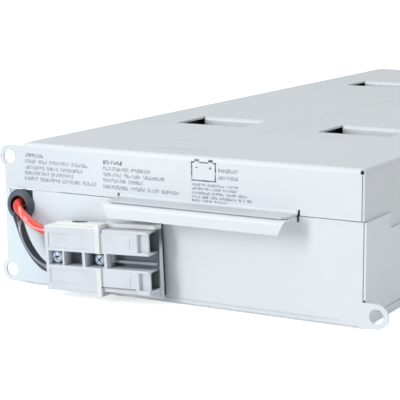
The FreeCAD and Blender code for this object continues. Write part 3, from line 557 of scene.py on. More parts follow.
@dataclass(frozen=True)
class Insulation:
    """Soft wire insulation: glossy, with faint scuffs, and a painted highlight, a pale stripe, on a
    lead in front.

    The stripe follows an arc in the front view: its middle's place across and up, and its
    radius, in mm.
    """

    name: str
    colour: Colour
    scuff: Colour
    arc: Optional[Point] = None
    # The painted highlight's colour and share:
    painted_highlight: Colour = linear(190, 206, 222)
    painted_highlight_share: float = 0.6
    stripe_half: float = 0.0009
    stripe_face: Span = (-0.2815, -0.2800)
    coat: float = 0.8
    relief: float = 0.00004

    def stripe(self, graph: Graph) -> Mask:
        """The painted highlight stripe: where the distance from the arc is small, on the wire's
        front side.

        Args:
            graph: The material's graph.

        Returns:
            The stripe's mask.
        """
        x, y, z = graph.axes()
        across, up, radius = x - self.arc[0] * MM, z - self.arc[1] * MM, self.arc[2] * MM
        away = across * across + up * up - radius ** 2
        line = (away * (1.0 / (2.0 * radius * self.stripe_half))).near(0.0, (0.3, 1.0))
        return line * y.fall(*self.stripe_face) * (0.6 + graph.noise(Grain.SHREDS, 1.0) * 0.5)

    def material(self) -> bpy.types.Material:
        """Build the material.

        Returns:
            The material.
        """
        graph = Graph(self.name)
        scuffs = graph.noise(Grain.SCUFFS, 5.0).ramp(0.62, 0.8)
        colour = graph.blend(scuffs * 0.35, self.colour, self.scuff)
        if self.arc is not None:
            # Painted highlight along the arc.
            colour = graph.blend(self.stripe(graph) * self.painted_highlight_share, colour, self.painted_highlight)
        graph.surface(colour, scuffs * 0.2 + Gloss.GLAZED.value)
        graph.bump(graph.noise(Grain.WEAR, 2.0), self.relief)
        graph.shader.inputs["Coat Weight"].default_value = self.coat
        return graph.material


@dataclass(frozen=True)
class Ink:
    """Screen-printed ink, slightly worn so that the paint shows through."""

    name: str
    colour: Colour
    paint: Colour = linear(218, 224, 231)

    def material(self) -> bpy.types.Material:
        """Build the material.

        Returns:
            The material.
        """
        graph = Graph(self.name)
        worn = graph.noise(Grain.WEAR, 4.0).ramp(0.35, 0.75)
        graph.surface(graph.blend(worn * 0.6, self.colour, self.paint), Gloss.SOFT.value)
        return graph.material


def linked(name: str, data: Any) -> bpy.types.Object:
    """Make an object and link it to the scene.

    Args:
        name: The object's name.
        data: Its mesh, curve, camera or light.

    Returns:
        The object.
    """
    made = bpy.data.objects.new(name, data)
    bpy.context.scene.collection.objects.link(made)
    return made


def surface_mesh(name: str, points: np.ndarray, faces: np.ndarray, smooth: bool = True
                 ) -> bpy.types.Object:
    """Make an object of vertices and quads or triangles.

    Args:
        name: The object's name.
        points: Vertices, one row each, in metres.
        faces: Vertex numbers, one face a row.
        smooth: Whether faces shade smoothly.

    Returns:
        The linked object.
    """
    mesh = bpy.data.meshes.new(name)
    mesh.from_pydata(points.tolist(), [], faces.tolist())
    mesh.polygons.foreach_set("use_smooth", np.full(len(faces), smooth))
    mesh.update()
    return linked(name, mesh)


def vertices(made: bpy.types.Object) -> np.ndarray:
    """Read a mesh's vertices.

    Args:
        made: The mesh's object.

    Returns:
        The vertices, one row each.
    """
    places = np.empty(3 * len(made.data.vertices))
    made.data.vertices.foreach_get("co", places)
    return places.reshape(-1, 3)


def place_vertices(made: bpy.types.Object, places: np.ndarray) -> None:
    """Put a mesh's vertices at new places, one row each."""
    made.data.vertices.foreach_set("co", places.ravel())
    made.data.update()


@dataclass
class Lattice:
    """A solid marked in the cells between planes, made a closed mesh with shared corners."""

    decimals: int = 4
    solids: list[tuple[bool, Sequence[float]]] = field(default_factory=list)

    def fill(self, *box: float) -> None:
        """Fill a box.

        Args:
            box: Low and high along the first, the second and the third axis.
        """
        self.solids.append((True, box))

    def carve(self, *box: float) -> None:
        """Empty a box, given as for fill."""
        self.solids.append((False, box))

    def mesh(self) -> tuple[np.ndarray, np.ndarray]:
        """A quad wherever a filled cell meets an empty one, facing the empty cell.

        Returns:
            The vertices and the quads' vertex numbers.
        """
        boxes = np.round([box for _, box in self.solids], self.decimals).reshape(-1, 3, 2)
        lines = [np.unique(boxes[:, axis]) for axis in range(3)]
        filled = np.zeros([len(line) + 1 for line in lines], dtype=bool)
        for (solid, _), box in zip(self.solids, boxes):
            span = [np.searchsorted(line, sides) + 1 for line, sides in zip(lines, box)]
            filled[tuple(slice(*sides) for sides in span)] = solid
        counts = [len(line) for line in lines]
        quads = []
        for axis in range(3):
            near = np.take(filled, range(counts[axis]), axis)
            far = np.take(filled, range(1, counts[axis] + 1), axis)
            for outward, mask in ((True, near & ~far), (False, far & ~near)):
                at = np.argwhere(mask)
                first, second = (axis + 1) % 3, (axis + 2) % 3
                steps = ([(0, 0), (1, 0), (1, 1), (0, 1)] if outward
                         else [(0, 0), (0, 1), (1, 1), (1, 0)])
                corners = []
                for a, b in steps:
                    corner = at.copy()
                    corner[:, first] += a - 1
                    corner[:, second] += b - 1
                    corners.append(np.ravel_multi_index(corner.T, counts))
                quads.append(np.stack(corners, axis=1))
        faces = np.vstack(quads)
        used, numbers = np.unique(faces, return_inverse=True)
        places = np.stack(np.unravel_index(used, counts), axis=1)
        points = np.stack([lines[axis][places[:, axis]] for axis in range(3)], axis=1)
        return points, numbers.reshape(-1, 4)


@dataclass
class Plug:
    """The moulded two-pole plug: two barrels on a rear frame, joined by a web with pockets.

    Sizes in mm run along the plug from its left end, backwards from its front face, and up from
    its middle, all level; at the end the whole is turned about its right end as it hangs. A pair
    is a start and an end, or a low and a high side. A sign is left, right, low and high.
    """

    start: float = -78.2
    length: float = 68.6
    front: float = -288.0
    middle: float = 24.9
    rise: float = 3.1
    thick: float = 13.6
    half: float = 18.3
    band: Span = (-3.9, 4.2)
    rib: Span = (34.2, 37.2)
    rib_half: float = 20.0
    rib_proud: float = 1.2
    label_ends: Span = (2.2, 28.8)
    labels: tuple[Span, ...] = ((6.1, 14.3), (-14.2, -6.0))
    label_depth: float = 0.5
    hump: Span = (4.0, 33.0)
    hump_front: float = 7.0
    hump_height: float = 0.9
    pockets: tuple[Span, ...] = ((1.9, 11.2), (12.4, 24.6), (26.4, 39.0))
    pocket_floor: float = 9.4
    peg: Span = (1.9, 3.6)
    peg_front: float = 3.6
    peg_height: Span = (-0.9, 1.0)
    screws: tuple[float, ...] = (5.1, 33.8)
    seat: float = 5.1
    seat_half: float = 2.1
    slot_start: float = 40.7
    slot_floor: float = 10.0
    step_end: float = 42.3
    step_front: float = 5.2
    step_foot: float = -1.6
    ridge_end: float = 68.0
    ridge_front: float = 7.2
    ridge: Span = (-1.9, -0.4)
    barrel_end: float = 67.6
    upper: Span = (4.4, 17.6)
    lower: Span = (-17.2, -3.9)
    ledge_end: float = 60.0
    ledge_depth: float = 0.7
    ledges: Span = (1.9, 2.2)
    wall: float = 1.4
    sills: Span = (0.3, 1.0)
    recess_start: float = 60.9
    recess_depth: float = 2.2
    mouth_start: float = 54.0
    mouth: Span = (3.4, 11.0)
    mouth_play: float = 0.3
    lip: float = 0.7
    slit_start: float = 51.0
    slit_front: float = 6.4
    slit_depth: float = 1.6
    frame_front: float = 7.6
    frame_top: float = 20.1
    frame_back: float = 15.4
    frame_rim: Span = (1.8, 0.1)
    flange_front: float = 10.6
    flange_inset: float = 2.0
    flange_foot: float = -21.4
    signs: tuple[tuple[float, ...], ...] = (
        (55.6, 56.1, 7.6, 13.2), (53.2, 58.4, 10.2, 10.7), (54.9, 55.4, -13.0, -6.6))
    sign_proud: float = 0.3
    bevel: float = 2.8
    bevel_weights: Point = (1.0, 0.4, 0.1)

    def cable_half(self, form: Lattice) -> None:
        """Left half: a full block with sunk label fields, the raised rib and a hump on top.

        Args:
            form: The lattice that takes shape.
        """
        thick, half = self.thick, self.half
        form.fill(0, self.rib[1], 0, thick, -half, half)
        for label in self.labels:
            form.carve(*self.label_ends, 0, self.label_depth, *label)
        form.fill(*self.rib, -self.rib_proud, thick, -self.rib_half, self.rib_half)
        form.carve(*self.rib, -self.rib_proud, 0, *self.band)
        form.fill(*self.hump, self.hump_front, thick, half, half + self.hump_height)

    def mating_half(self, form: Lattice) -> None:
        """Right half: a tall rear frame and two barrels with open mouths and front recesses.

        Args:
            form: The lattice that takes shape.
        """
        start, end, length, thick = self.rib[1], self.barrel_end, self.length, self.thick
        face, foot, top = self.frame_front, -self.rib_half, self.rib_half
        form.fill(start, length, face, thick, foot, top)
        form.fill(start, end, face, thick, foot, self.frame_top)
        for low, high in (self.upper, self.lower):
            form.fill(start, end, 0, face, low, high)
        high, low = self.upper[1], self.lower[0]
        for ledge in ((high - self.ledges[0], high), (low, low + self.ledges[1])):
            form.carve(start, self.ledge_end, 0, self.ledge_depth, *ledge)
        for (low, high), sill in zip((self.upper, self.lower), self.sills):
            low, high = low + self.wall + sill, high - self.wall
            form.carve(self.recess_start, length, 0, self.recess_depth, low, high)
            form.carve(self.mouth_start, length, *self.mouth, low - self.mouth_play,
                       high + self.mouth_play)
            form.carve(end - self.lip, length, 0, self.mouth[0], low, high)
        form.carve(self.slit_start, length, self.slit_front, face,
                   self.upper[1] - self.slit_depth, self.upper[1])
        form.carve(end, length, face, self.flange_front, foot, top)
        form.fill(length - self.frame_rim[0], length - self.frame_rim[1], thick, self.frame_back,
                  foot, top)
        form.fill(start + self.flange_inset, length, self.flange_front, thick, self.flange_foot, top)

    def web(self, form: Lattice) -> None:
        """The band between the barrels: pockets with a peg and seats, then the open slot.

        Args:
            form: The lattice that takes shape.
        """
        low, high = self.band
        top, floor = self.upper[0], self.pocket_floor
        form.fill(self.rib[1], self.slot_start, 0, self.frame_front, low, top)
        for pocket in self.pockets:
            form.carve(*pocket, 0, floor, low, high)
        form.fill(*self.peg, self.peg_front, floor, *self.peg_height)
        for middle in self.screws:
            form.fill(middle - self.seat_half, middle + self.seat_half, self.seat, floor,
                      -self.seat_half, self.seat_half)
        form.carve(self.slot_start, self.length, 0, self.slot_floor, low, top)
        form.fill(self.slot_start, self.step_end, self.step_front, self.slot_floor,
                  self.step_foot, top)
        form.fill(self.slot_start, self.ridge_end, self.ridge_front, self.slot_floor, *self.ridge)

    def polarity(self, form: Lattice) -> None:
        """Moulded signs on the barrels: a plus above and an upright minus below."""
        for left, right, low, high in self.signs:
            form.fill(left, right, -self.sign_proud, 0, low, high)

    def hang(self, points: np.ndarray) -> np.ndarray:
        """Turn level places about the plug's right end and put them in the object.

        Args:
            points: Places along, backwards and up in mm, one row each.

        Returns:
            The places in the object, in metres.
        """
        rise = self.rise / self.length
        run = math.sqrt(1.0 - rise ** 2)
        across, deep, up = (points - (self.length, 0.0, 0.0)).T
        right = self.start + self.length
        return np.column_stack([right + across * run - up * rise, self.front + deep,
                                self.middle + across * rise + up * run]) * MM

    def soften(self, made: bpy.types.Object, level: np.ndarray) -> None:
        """Bevel every edge, the long outer ones of the left half much more.

        Args:
            made: The plug.
            level: Its vertices' level places in mm.
        """
        mesh = made.data
        ends = np.empty(2 * len(mesh.edges), dtype=int)
        mesh.edges.foreach_get("vertices", ends)
        along, deep, up = level[ends].reshape(-1, 2, 3).mean(axis=1).T
        front = deep < 0.01
        outer = (np.abs(np.abs(up) - self.half) < 0.01) & (along < self.rib[0]) & front
        crest = deep < -self.rib_proud + 0.01
        weight = np.select([outer, crest], self.bevel_weights[:2], self.bevel_weights[2])
        marks = mesh.attributes.new("bevel_weight_edge", "FLOAT", "EDGE")
        marks.data.foreach_set("value", weight)
        bevel = made.modifiers.new("soft_edges", "BEVEL")
        bevel.limit_method = "WEIGHT"
        bevel.width = self.bevel * MM
        bevel.segments = 4
        bevel.use_clamp_overlap = True

    def build(self) -> bpy.types.Object:
        """Fill and carve the lattice, merge its flat faces and hang it.

        Returns:
            The plug.
        """
        form = Lattice()
        for shape in (self.cable_half, self.mating_half, self.web, self.polarity):
            shape(form)
        points, faces = form.mesh()
        made = surface_mesh("plug_moulding", points, faces, False)
        work = bmesh.new()
        work.from_mesh(made.data)
        bmesh.ops.dissolve_limit(work, angle_limit=0.02, verts=work.verts, edges=work.edges)
        work.to_mesh(made.data)
        work.free()
        level = vertices(made)
        place_vertices(made, self.hang(level))
        self.soften(made, level)
        made.data.update()
        made.data.materials.append(PlugPlastic(self).material())
        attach(made, "root")
        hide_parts("connector_housing")
        return made


def revolved(name: str, profile: np.ndarray, centre: Sequence[float], number: int = 64
             ) -> bpy.types.Object:
    """Carry a profile round a level axis that runs from front to back.

    A point (r, y) of the profile at the angle a lands at (r cos a, y, r sin a).

    Args:
        name: The object's name.
        profile: Rows of radius and depth in mm; a row of no radius closes an end.
        centre: The axis' place in mm, where depth is zero.
        number: Steps round the circle.

    Returns:
        The object, its seams and poles merged.
    """
    angle = np.linspace(0.0, 2.0 * math.pi, number, endpoint=False)
    radius, deep = profile[:, :1], profile[:, 1:]
    points = np.stack([radius * np.cos(angle), deep + 0.0 * angle, radius * np.sin(angle)], axis=2)
    points = (points.reshape(-1, 3) + np.array(centre)) * MM
    rows, steps = np.meshgrid(np.arange(len(profile) - 1), np.arange(number), indexing="ij")
    after = (steps + 1) % number
    faces = np.stack([rows * number + steps, (rows + 1) * number + steps,
                      (rows + 1) * number + after, rows * number + after], axis=2).reshape(-1, 4)
    made = surface_mesh(name, points, faces)
    work = bmesh.new()
    work.from_mesh(made.data)
    bmesh.ops.remove_doubles(work, verts=work.verts, dist=0.00001)
    bmesh.ops.recalc_face_normals(work, faces=work.faces)
    work.to_mesh(made.data)
    work.free()
    return made


@dataclass(frozen=True)
class PlugPlastic:
    """The plug's plastic: a painted highlight on its top and crest, painted shade where it is deep,
    and painted shadow in its gaps.

    Places are in metres along the plug, backwards or up, as in Plug. A pair of them gives where
    a tone starts to change and where the change ends. The cross's pair holds squared distances
    from a screw's middle.
    """

    plug: Plug
    colour: Colour = linear(216, 219, 224)
    # The pale tone is a painted highlight; the deep tone is painted shade in the hollows and the
    # darker side of the mottling; the darkest tone is painted shadow in the gaps and the screws'
    # recesses.
    pale: Colour = linear(240, 240, 238)
    deep: Colour = linear(92, 100, 108)
    painted_shadow: Colour = linear(34, 40, 46)
    zinc: Colour = linear(214, 224, 238)
    stain: Colour = linear(170, 182, 200)
    cross: Span = (0.0000042, 0.0000048)
    hollow: Span = (0.0174, 0.0180)
    hollow_ends: tuple[Span, Span] = ((0.0008, 0.0014), (0.0680, 0.0684))
    hollow_depth: Span = (0.0012, 0.0110)
    hollow_share: float = 0.92
    roof: Span = (0.0176, 0.0182)
    crest: Span = (-0.0012, -0.0006)
    crest_share: float = 0.5
    roof_start: float = 0.0155
    arch: Span = (0.0156, 0.0120)
    arch_radii: Span = (0.0052, 0.0034)
    arch_edge: Span = (0.85, 1.1)
    slit_ends: tuple[Span, Span] = ((0.0508, 0.0512), (0.0668, 0.0672))
    slit: float = 0.0068
    slit_edge: Span = (0.0004, 0.0007)
    ledge_ends: tuple[Span, Span] = ((0.0376, 0.0380), (0.0590, 0.0600))
    ledge: float = -0.0147
    ledge_edge: Span = (0.0003, 0.0006)
    ledge_back: float = 0.002
    ledge_share: float = 0.6
    back_face: Span = (0.01365, 0.01375)
    relief: float = 0.00003

    def axes(self, graph: Graph) -> list[Mask]:
        """Object coordinates turned to the plug's own directions.

        Args:
            graph: The material's graph.

        Returns:
            Places along, backwards and up, in metres from its left end, front and middle.
        """
        plug = self.plug
        x, y, z = graph.axes()
        right = (plug.start + plug.length) * MM
        return [x - plug.start * MM, y - plug.front * MM,
                z - plug.middle * MM - (x - right) * (plug.rise / plug.length)]

    def metal(self, face: float) -> bpy.types.Material:
        """Pale zinc for the screws, with painted shade in their cross recesses.

        Args:
            face: How far back the painted shade starts, in mm.

        Returns:
            The material.
        """
        graph = Graph("screw_zinc")
        along, back, high = self.axes(graph)
        offsets = [along - place * MM for place in self.plug.screws]
        inside = sum((away * away + high * high).fall(*self.cross) for away in offsets)
        colour = graph.blend(graph.noise(Grain.STAINS) * 0.3, self.zinc, self.stain)
        # Painted shade in the cross recesses.
        dark = inside * back.ramp(face * MM, (face + 0.5) * MM)
        graph.surface(graph.blend(dark, colour, self.painted_shadow),
                      graph.noise(Grain.SHEEN) * 0.1 + 0.3, 0.25)
        return graph.material

    def gaps(self, along: Mask, back: Mask, high: Mask) -> Mask:
        """The painted shadows: an arch and a slit in the top, a ledge below, and the back face.

        Args:
            along: Place along the plug.
            back: Place backwards.
            high: Place upwards.

        Returns:
            The mask of the painted shadows.
        """
        across = (along - self.arch[0]) * (1.0 / self.arch_radii[0])
        deep = (back - self.arch[1]) * (1.0 / self.arch_radii[1])
        arch = (across * across + deep * deep).fall(*self.arch_edge)
        slit = along.between(*self.slit_ends) * back.near(self.slit, self.slit_edge)
        ledge = high.near(self.ledge, self.ledge_edge) * along.between(*self.ledge_ends)
        ledge = ledge * back.below(self.ledge_back) * self.ledge_share
        return (arch + slit) * high.above(self.roof_start) + ledge + back.ramp(*self.back_face)

    def material(self) -> bpy.types.Material:
        """Build the plastic on the plug's own directions.

        Returns:
            The material.
        """
        graph = Graph("plug_plastic")
        along, back, high = self.axes(graph)
        # Painted shade: darker the deeper a place sits between the barrels.
        hollow = high.near(0.0, self.hollow) * along.between(*self.hollow_ends)
        shade = back.ramp(*self.hollow_depth) * hollow * self.hollow_share
        # Painted highlight on the top and on the faces proud of the front.
        pale = high.ramp(*self.roof) + back.fall(*self.crest) * self.crest_share
        mottling = graph.noise(Grain.MOTTLING).ramp(0.4, 0.7) * 0.06
        colour = graph.blend(mottling, self.colour, self.deep)
        colour = graph.blend(pale, colour, self.pale)
        colour = graph.blend(shade, colour, self.deep)
        # Painted shadow in the gaps.
        graph.surface(graph.blend(self.gaps(along, back, high), colour, self.painted_shadow),
                      graph.noise(Grain.SHEEN) * 0.12 + 0.4)
        graph.bump(graph.noise(Grain.SPARKED, 2.0), self.relief)
        return graph.material


@dataclass
class Screws:
    """Two pan-head screws with cross recesses, seated in the plug's pockets."""

    plug: Plug
    radii: tuple[float, ...] = (3.35, 2.9)
    turns: tuple[float, ...] = (0.25, 0.75)
    face: float = 2.7
    dome: float = 1.1
    dome_power: float = 2.6
    shank: float = 1.7
    cross_reach: float = 2.2
    cross_half: float = 0.5
    cross_depth: float = 1.5
    cross_ends: float = 0.35
    # How far behind the head's face the painted shade of the recess starts:
    painted_shade_depth: float = 0.75

    def profile(self, radius: float, end: float) -> np.ndarray:
        """The section: a dome that falls back by a power of the radius, the head and the shank.

        Args:
            radius: The head's radius.
            end: Where the shank ends.

        Returns:
            Rows of radius and depth in mm.
        """
        out = np.linspace(0.0, 1.0, 30)
        dome = np.column_stack([radius * out, self.face + self.dome * out ** self.dome_power])
        seat = self.plug.seat
        rest = [(radius, seat), (self.shank, seat), (self.shank, end), (0.0, end)]
        return np.vstack([dome, rest])

    def recess(self, places: np.ndarray, turn: float) -> np.ndarray:
        """Press a cross into a head: two bars of one width, sloping up at their ends.

        Args:
            places: The screw's vertices in mm, level, from the middle of its axis.
            turn: The cross's angle.

        Returns:
            The vertices with the cross pressed in.
        """
        across, deep, up = places.T
        one = np.abs(across * math.cos(turn) + up * math.sin(turn))
        two = np.abs(up * math.cos(turn) - across * math.sin(turn))
        bars = (np.minimum(one, two) < self.cross_half) & (np.maximum(one, two) < self.cross_reach)
        front = deep < self.plug.seat - 0.6
        slope = 1.0 - np.maximum(one, two) / self.cross_reach
        share = self.cross_ends + (1.0 - self.cross_ends) * slope
        pressed = deep + np.where(bars & front, self.cross_depth * share, 0.0)
        return np.column_stack([across, pressed, up])

    def build(self) -> list[bpy.types.Object]:
        """Make both screws and hang them with the plug.

        Returns:
            The screws.
        """
        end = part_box("connector_screws")[1][1] / MM - self.plug.front
        finish = PlugPlastic(self.plug).metal(self.face + self.painted_shade_depth)
        screws = []
        for place, radius, turn in zip(self.plug.screws, self.radii, self.turns):
            made = revolved(f"plug_screw_{len(screws) + 1}", self.profile(radius, end),
                            (place, 0.0, 0.0), 96)
            centre = np.array((place, 0.0, 0.0))
            level = self.recess(vertices(made) / MM - centre, turn) + centre
            place_vertices(made, self.plug.hang(level))
            made.data.materials.append(finish)
            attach(made, "root")
            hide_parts("connector_screws")
            screws.append(made)
        return screws


@dataclass
class Grommet:
    """Domed rubber grommet with a groove for the panel, and the crown over it in the slot."""

    centre: Point = (-107.3, -270.0, 46.5)
    tall: float = 1.07
    seam: float = 55.5
    squeeze: float = 0.56
    throat: float = 6.0
    throat_top: float = 4.75
    outer: float = 8.9
    bore: float = 5.1
    dome: float = 3.9
    dome_span: Span = (0.04, 0.84)
    neck: float = 7.8
    gauge: float = 1.2
    back: float = 3.6
    back_radius: float = 8.3
    back_bevel: float = 0.8
    crown_front: float = 0.2
    crown_foot: float = 6.1
    crown_top: float = 9.0
    ring_tone: Colour = linear(86, 92, 103)
    # The bore's dark tone is painted shade; the crown's right tone is painted shadow.
    bore_shade: Colour = linear(16, 17, 20)
    crown_left: Colour = linear(206, 212, 220)
    crown_shadow: Colour = linear(44, 50, 60)
    relief: float = 0.00006

    def profile(self) -> np.ndarray:
        """The section: a dome, steepest by the bore, then the bore, the back lip and the neck.

        The dome's radius follows a cosine from the rim to the bore, and its height a power of a
        sine, so both ends meet their walls smoothly.

        Returns:
            Rows of radius and depth in mm.
        """
        part = np.linspace(0.0, 1.0, 22)
        radius = self.outer - (self.outer - self.bore) * (1.0 - np.cos(math.pi * part)) / 2.0
        first, last = self.dome_span
        height = -self.dome * np.sin(math.pi * (first + (last - first) * part ** 1.2)) ** 0.7
        height[0] = 0.0
        lip, back = self.back_radius, self.back
        rest = [(self.bore, 1.0), (self.bore, back), (lip - self.back_bevel, back),
                (lip, back - self.back_bevel), (lip, self.gauge), (self.neck, self.gauge),
                (self.neck, 0.0), (self.outer, 0.0)]
        return np.vstack([np.column_stack([radius, height]), rest])

    def rubber(self) -> bpy.types.Material:
        """The ring's rubber, with painted shade inside the bore.

        Returns:
            The material.
        """
        graph = Graph("rubber")
        x, _, z = graph.axes()
        across, up = x - self.centre[0] * MM, (z - self.centre[2] * MM) * (1.0 / self.tall)
        limit = (self.bore * MM) ** 2
        # Painted shade inside the bore.
        dark = (across * across + up * up).fall(limit * 1.02, limit * 1.2)
        graph.surface(graph.blend(dark, self.ring_tone, self.bore_shade),
                      graph.noise(Grain.SHEEN) * 0.12 + Gloss.SATIN.value)
        graph.bump(graph.noise(Grain.SPARKED, 2.0), self.relief)
        return graph.material

    def shoulder(self) -> bpy.types.Material:
        """The crown's rubber: a painted shadow at its right, and as pale as the paint at its left.

        Returns:
            The material.
        """
        graph = Graph("crown_rubber")
        middle = self.centre[0] * MM
        # Painted shadow on the right half of the crown.
        side = graph.axes()[0].ramp(middle - 0.0002, middle + 0.0002)
        graph.surface(graph.blend(side, self.crown_left, self.crown_shadow),
                      graph.noise(Grain.SHEEN) * 0.1 + 0.5)
        return graph.material

    def press(self, ring: bpy.types.Object) -> None:
        """Make the ring taller, squeeze its throat round the leads and cut it at the seam.

        Args:
            ring: The round ring.
        """
        level = (vertices(ring) / MM - self.centre) * (1.0, 1.0, self.tall)
        away = np.hypot(level[:, 0], level[:, 2])
        throat = (level[:, 1] > self.back - 0.1) & (away < self.throat)
        level[throat, 0] *= self.squeeze
        level[throat, 2] = np.minimum(level[throat, 2], self.throat_top)
        level[:, 2] = np.minimum(level[:, 2], self.seam - self.centre[2])
        place_vertices(ring, (level + self.centre) * MM)

    def crown(self) -> bpy.types.Object:
        """Make the crown, a plate with a square opening in its foot.

        Returns:
            The crown.
        """
        form = Lattice()
        form.fill(-self.neck, self.neck, self.crown_front, self.gauge, 0.0, self.crown_top)
        form.carve(-self.bore, self.bore, self.crown_front, self.gauge, 0.0, self.crown_foot)
        points, faces = form.mesh()
        return surface_mesh("grommet_crown", (points + np.array(self.centre)) * MM, faces, False)

    def build(self) -> list[bpy.types.Object]:
        """Make the ring and its crown.

        Returns:
            The ring and the crown.
        """
        rubber = self.rubber()
        ring = revolved("grommet_ring", self.profile(), self.centre, 96)
        self.press(ring)
        crown = self.crown()
        for made, finish in ((ring, rubber), (crown, self.shoulder())):
            made.data.materials.append(finish)
            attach(made, "root")
            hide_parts("grommet")
        return [ring, crown]


@dataclass
class Lead:
    """A lead as one smooth NURBS line with a round section."""

    name: str
    route: Sequence[Point]
    length: float
    finish: Insulation
    diameter: float = 5.0 * MM

    def build(self) -> bpy.types.Object:
        """Make the curve with the route's points as its control points.

        Returns:
            The lead.
        """
        curve = bpy.data.curves.new(self.name, "CURVE")
        curve.dimensions = "3D"
        spline = curve.splines.new("NURBS")
        spline.points.add(len(self.route) - 1)
        places = np.column_stack([np.array(self.route) * MM, np.ones(len(self.route))])
        spline.points.foreach_set("co", places.ravel())
        spline.order_u = 3
        spline.use_endpoint_u = True
        spline.resolution_u = 14
        curve.bevel_depth = self.diameter / 2
        curve.bevel_resolution = 6
        curve.use_fill_caps = True
        made = linked(self.name, curve)
        made.data.materials.append(self.finish.material())
        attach(made, "root")
        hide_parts(self.name)
        start = tuple(part * MM for part in self.route[0])
        return made


@dataclass
class Wiring:
    """The two leads from the grommet to the plug, which hangs with its left end low."""

    plug: Plug
    left: float = -108.2
    front: float = -270.0
    shift: float = 0.9
    grommet_height: float = 45.9
    split: float = 2.6
    pole_front: float = -281.2
    pole_reach: float = 11.05
    pole_raise: float = 2.2
    socket: float = 5.0

    def hung(self, along: float, pole: float) -> Point:
        """A point of a pole's axis, turned as the plug hangs.

        Args:
            along: Its place from the level plug's left end.
            pole: Its height over the level plug's middle.

        Returns:
            The turned point in mm.
        """
        deep = self.pole_front - self.plug.front
        return tuple(self.plug.hang(np.array([[along, deep, pole]]))[0] / MM)

    def build(self) -> list[bpy.types.Object]:
        """Make both leads.

        Returns:
            The red and the black lead.
        """
        x, y = self.left, self.front
        start = x + self.shift
        high = self.grommet_height + self.split
        low = self.grommet_height - self.split
        upper = self.pole_raise + self.pole_reach
        lower = self.pole_raise - self.pole_reach
        # Each lead's Insulation gets the arc of its painted highlight stripe; the red one also the
        # highlight's colour and share.
        red = Lead("lead_red", [
            (start, y, high), (start, y - 6.8, high), (x + 10.8, y - 12.0, high - 5.7),
            (x + 19.5, y - 12.2, high - 11.0), self.hung(-2.0, upper),
            self.hung(self.socket, upper)], 0.0444,
            Insulation("red_insulation", linear(240, 62, 44), linear(248, 140, 118),
                       (-82.7, 56.8, 20.4), linear(255, 208, 196), 0.75))
        black = Lead("lead_black", [
            (start, y, low), (start, y - 6.4, low), (x + 7.7, y - 11.6, low - 5.1),
            (x + 12.2, y - 12.2, low - 15.5), (x + 19.4, y - 12.0, low - 25.0),
            self.hung(-3.3, lower), self.hung(self.socket, lower)], 0.0571,
            Insulation("black_insulation", linear(38, 46, 57), linear(96, 104, 118),
                       (-71.0, 41.8, 28.6)))
        return [red.build(), black.build()]


@dataclass
class Marks:
    """Flat printed rectangles on one upright face, gathered and then made one mesh.

    Sizes are in mm; the widths, feet, heads and bars are shares of a mark's height or pitch.
    """

    name: str
    ink: Ink
    face: float = -270.0
    left: float = -108.2
    proud: float = 0.02
    pitch: float = 0.7
    group: tuple[int, int] = (5, 12)
    widths: Span = (0.62, 0.84)
    feet: Point = (0.0, 0.06, 0.4)
    heads: Point = (0.0, 0.1, 0.45)
    odds: Point = (0.6, 0.2, 0.2)
    bars: Point = (-0.42, 0.0, 0.36)
    boxes: list[np.ndarray] = field(default_factory=list)

    def add(self, boxes: Any) -> None:
        """Add rectangles.

        Args:
            boxes: Rows of left, bottom, right and top in mm, from the body's left wall.
        """
        self.boxes.append(np.asarray(boxes, dtype=float).reshape(-1, 4))

    def row(self, x0: float, x1: float, z: float, height: float, stroke: float, seed: int
            ) -> None:
        """Add a row of tiny strokes in groups, like fine print seen from afar.

        Each mark is two upright strokes of uneven height and a bar between them, at a pitch of
        a share of the height; a mark is left out after every few to part the groups.

        Args:
            x0: Left end.
            x1: Right end.
            z: Middle height.
            height: Height of a mark.
            stroke: Thickness of a stroke.
            seed: Seed of the uneven heights.
        """
        random = np.random.default_rng(seed)
        pitch = self.pitch * height
        starts = np.arange(x0, x1 - 0.6 * pitch, pitch)
        gaps = np.cumsum(random.integers(*self.group, len(starts)))
        starts = starts[~np.isin(np.arange(len(starts)), gaps)]
        number = len(starts)
        ends = starts + pitch * random.uniform(*self.widths, number)
        low = z - height / 2 + height * random.choice(self.feet, (2, number), p=self.odds)
        high = z + height / 2 - height * random.choice(self.heads, (2, number), p=self.odds)
        middle = z + height * random.choice(self.bars, number)
        self.add(np.column_stack([starts, low[0], starts + stroke, high[0]]))
        self.add(np.column_stack([ends - stroke, low[1], ends, high[1]]))
        self.add(np.column_stack([starts + stroke, middle, ends - stroke, middle + stroke]))

    def build(self) -> bpy.types.Object:
        """Make one mesh of all the rectangles, each a quad that faces forwards.

        Returns:
            The printed piece.
        """
        low_x, low_z, high_x, high_z = np.vstack(self.boxes).T
        across = np.stack([low_x, high_x, high_x, low_x], axis=1) + self.left
        up = np.stack([low_z, low_z, high_z, high_z], axis=1)
        deep = np.full_like(up, self.face - self.proud)
        points = np.stack([across, deep, up], axis=2).reshape(-1, 3) * MM
        made = surface_mesh(self.name, points, np.arange(len(points)).reshape(-1, 4), False)
        made.data.materials.append(self.ink.material())
        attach(made, "root")
        return made


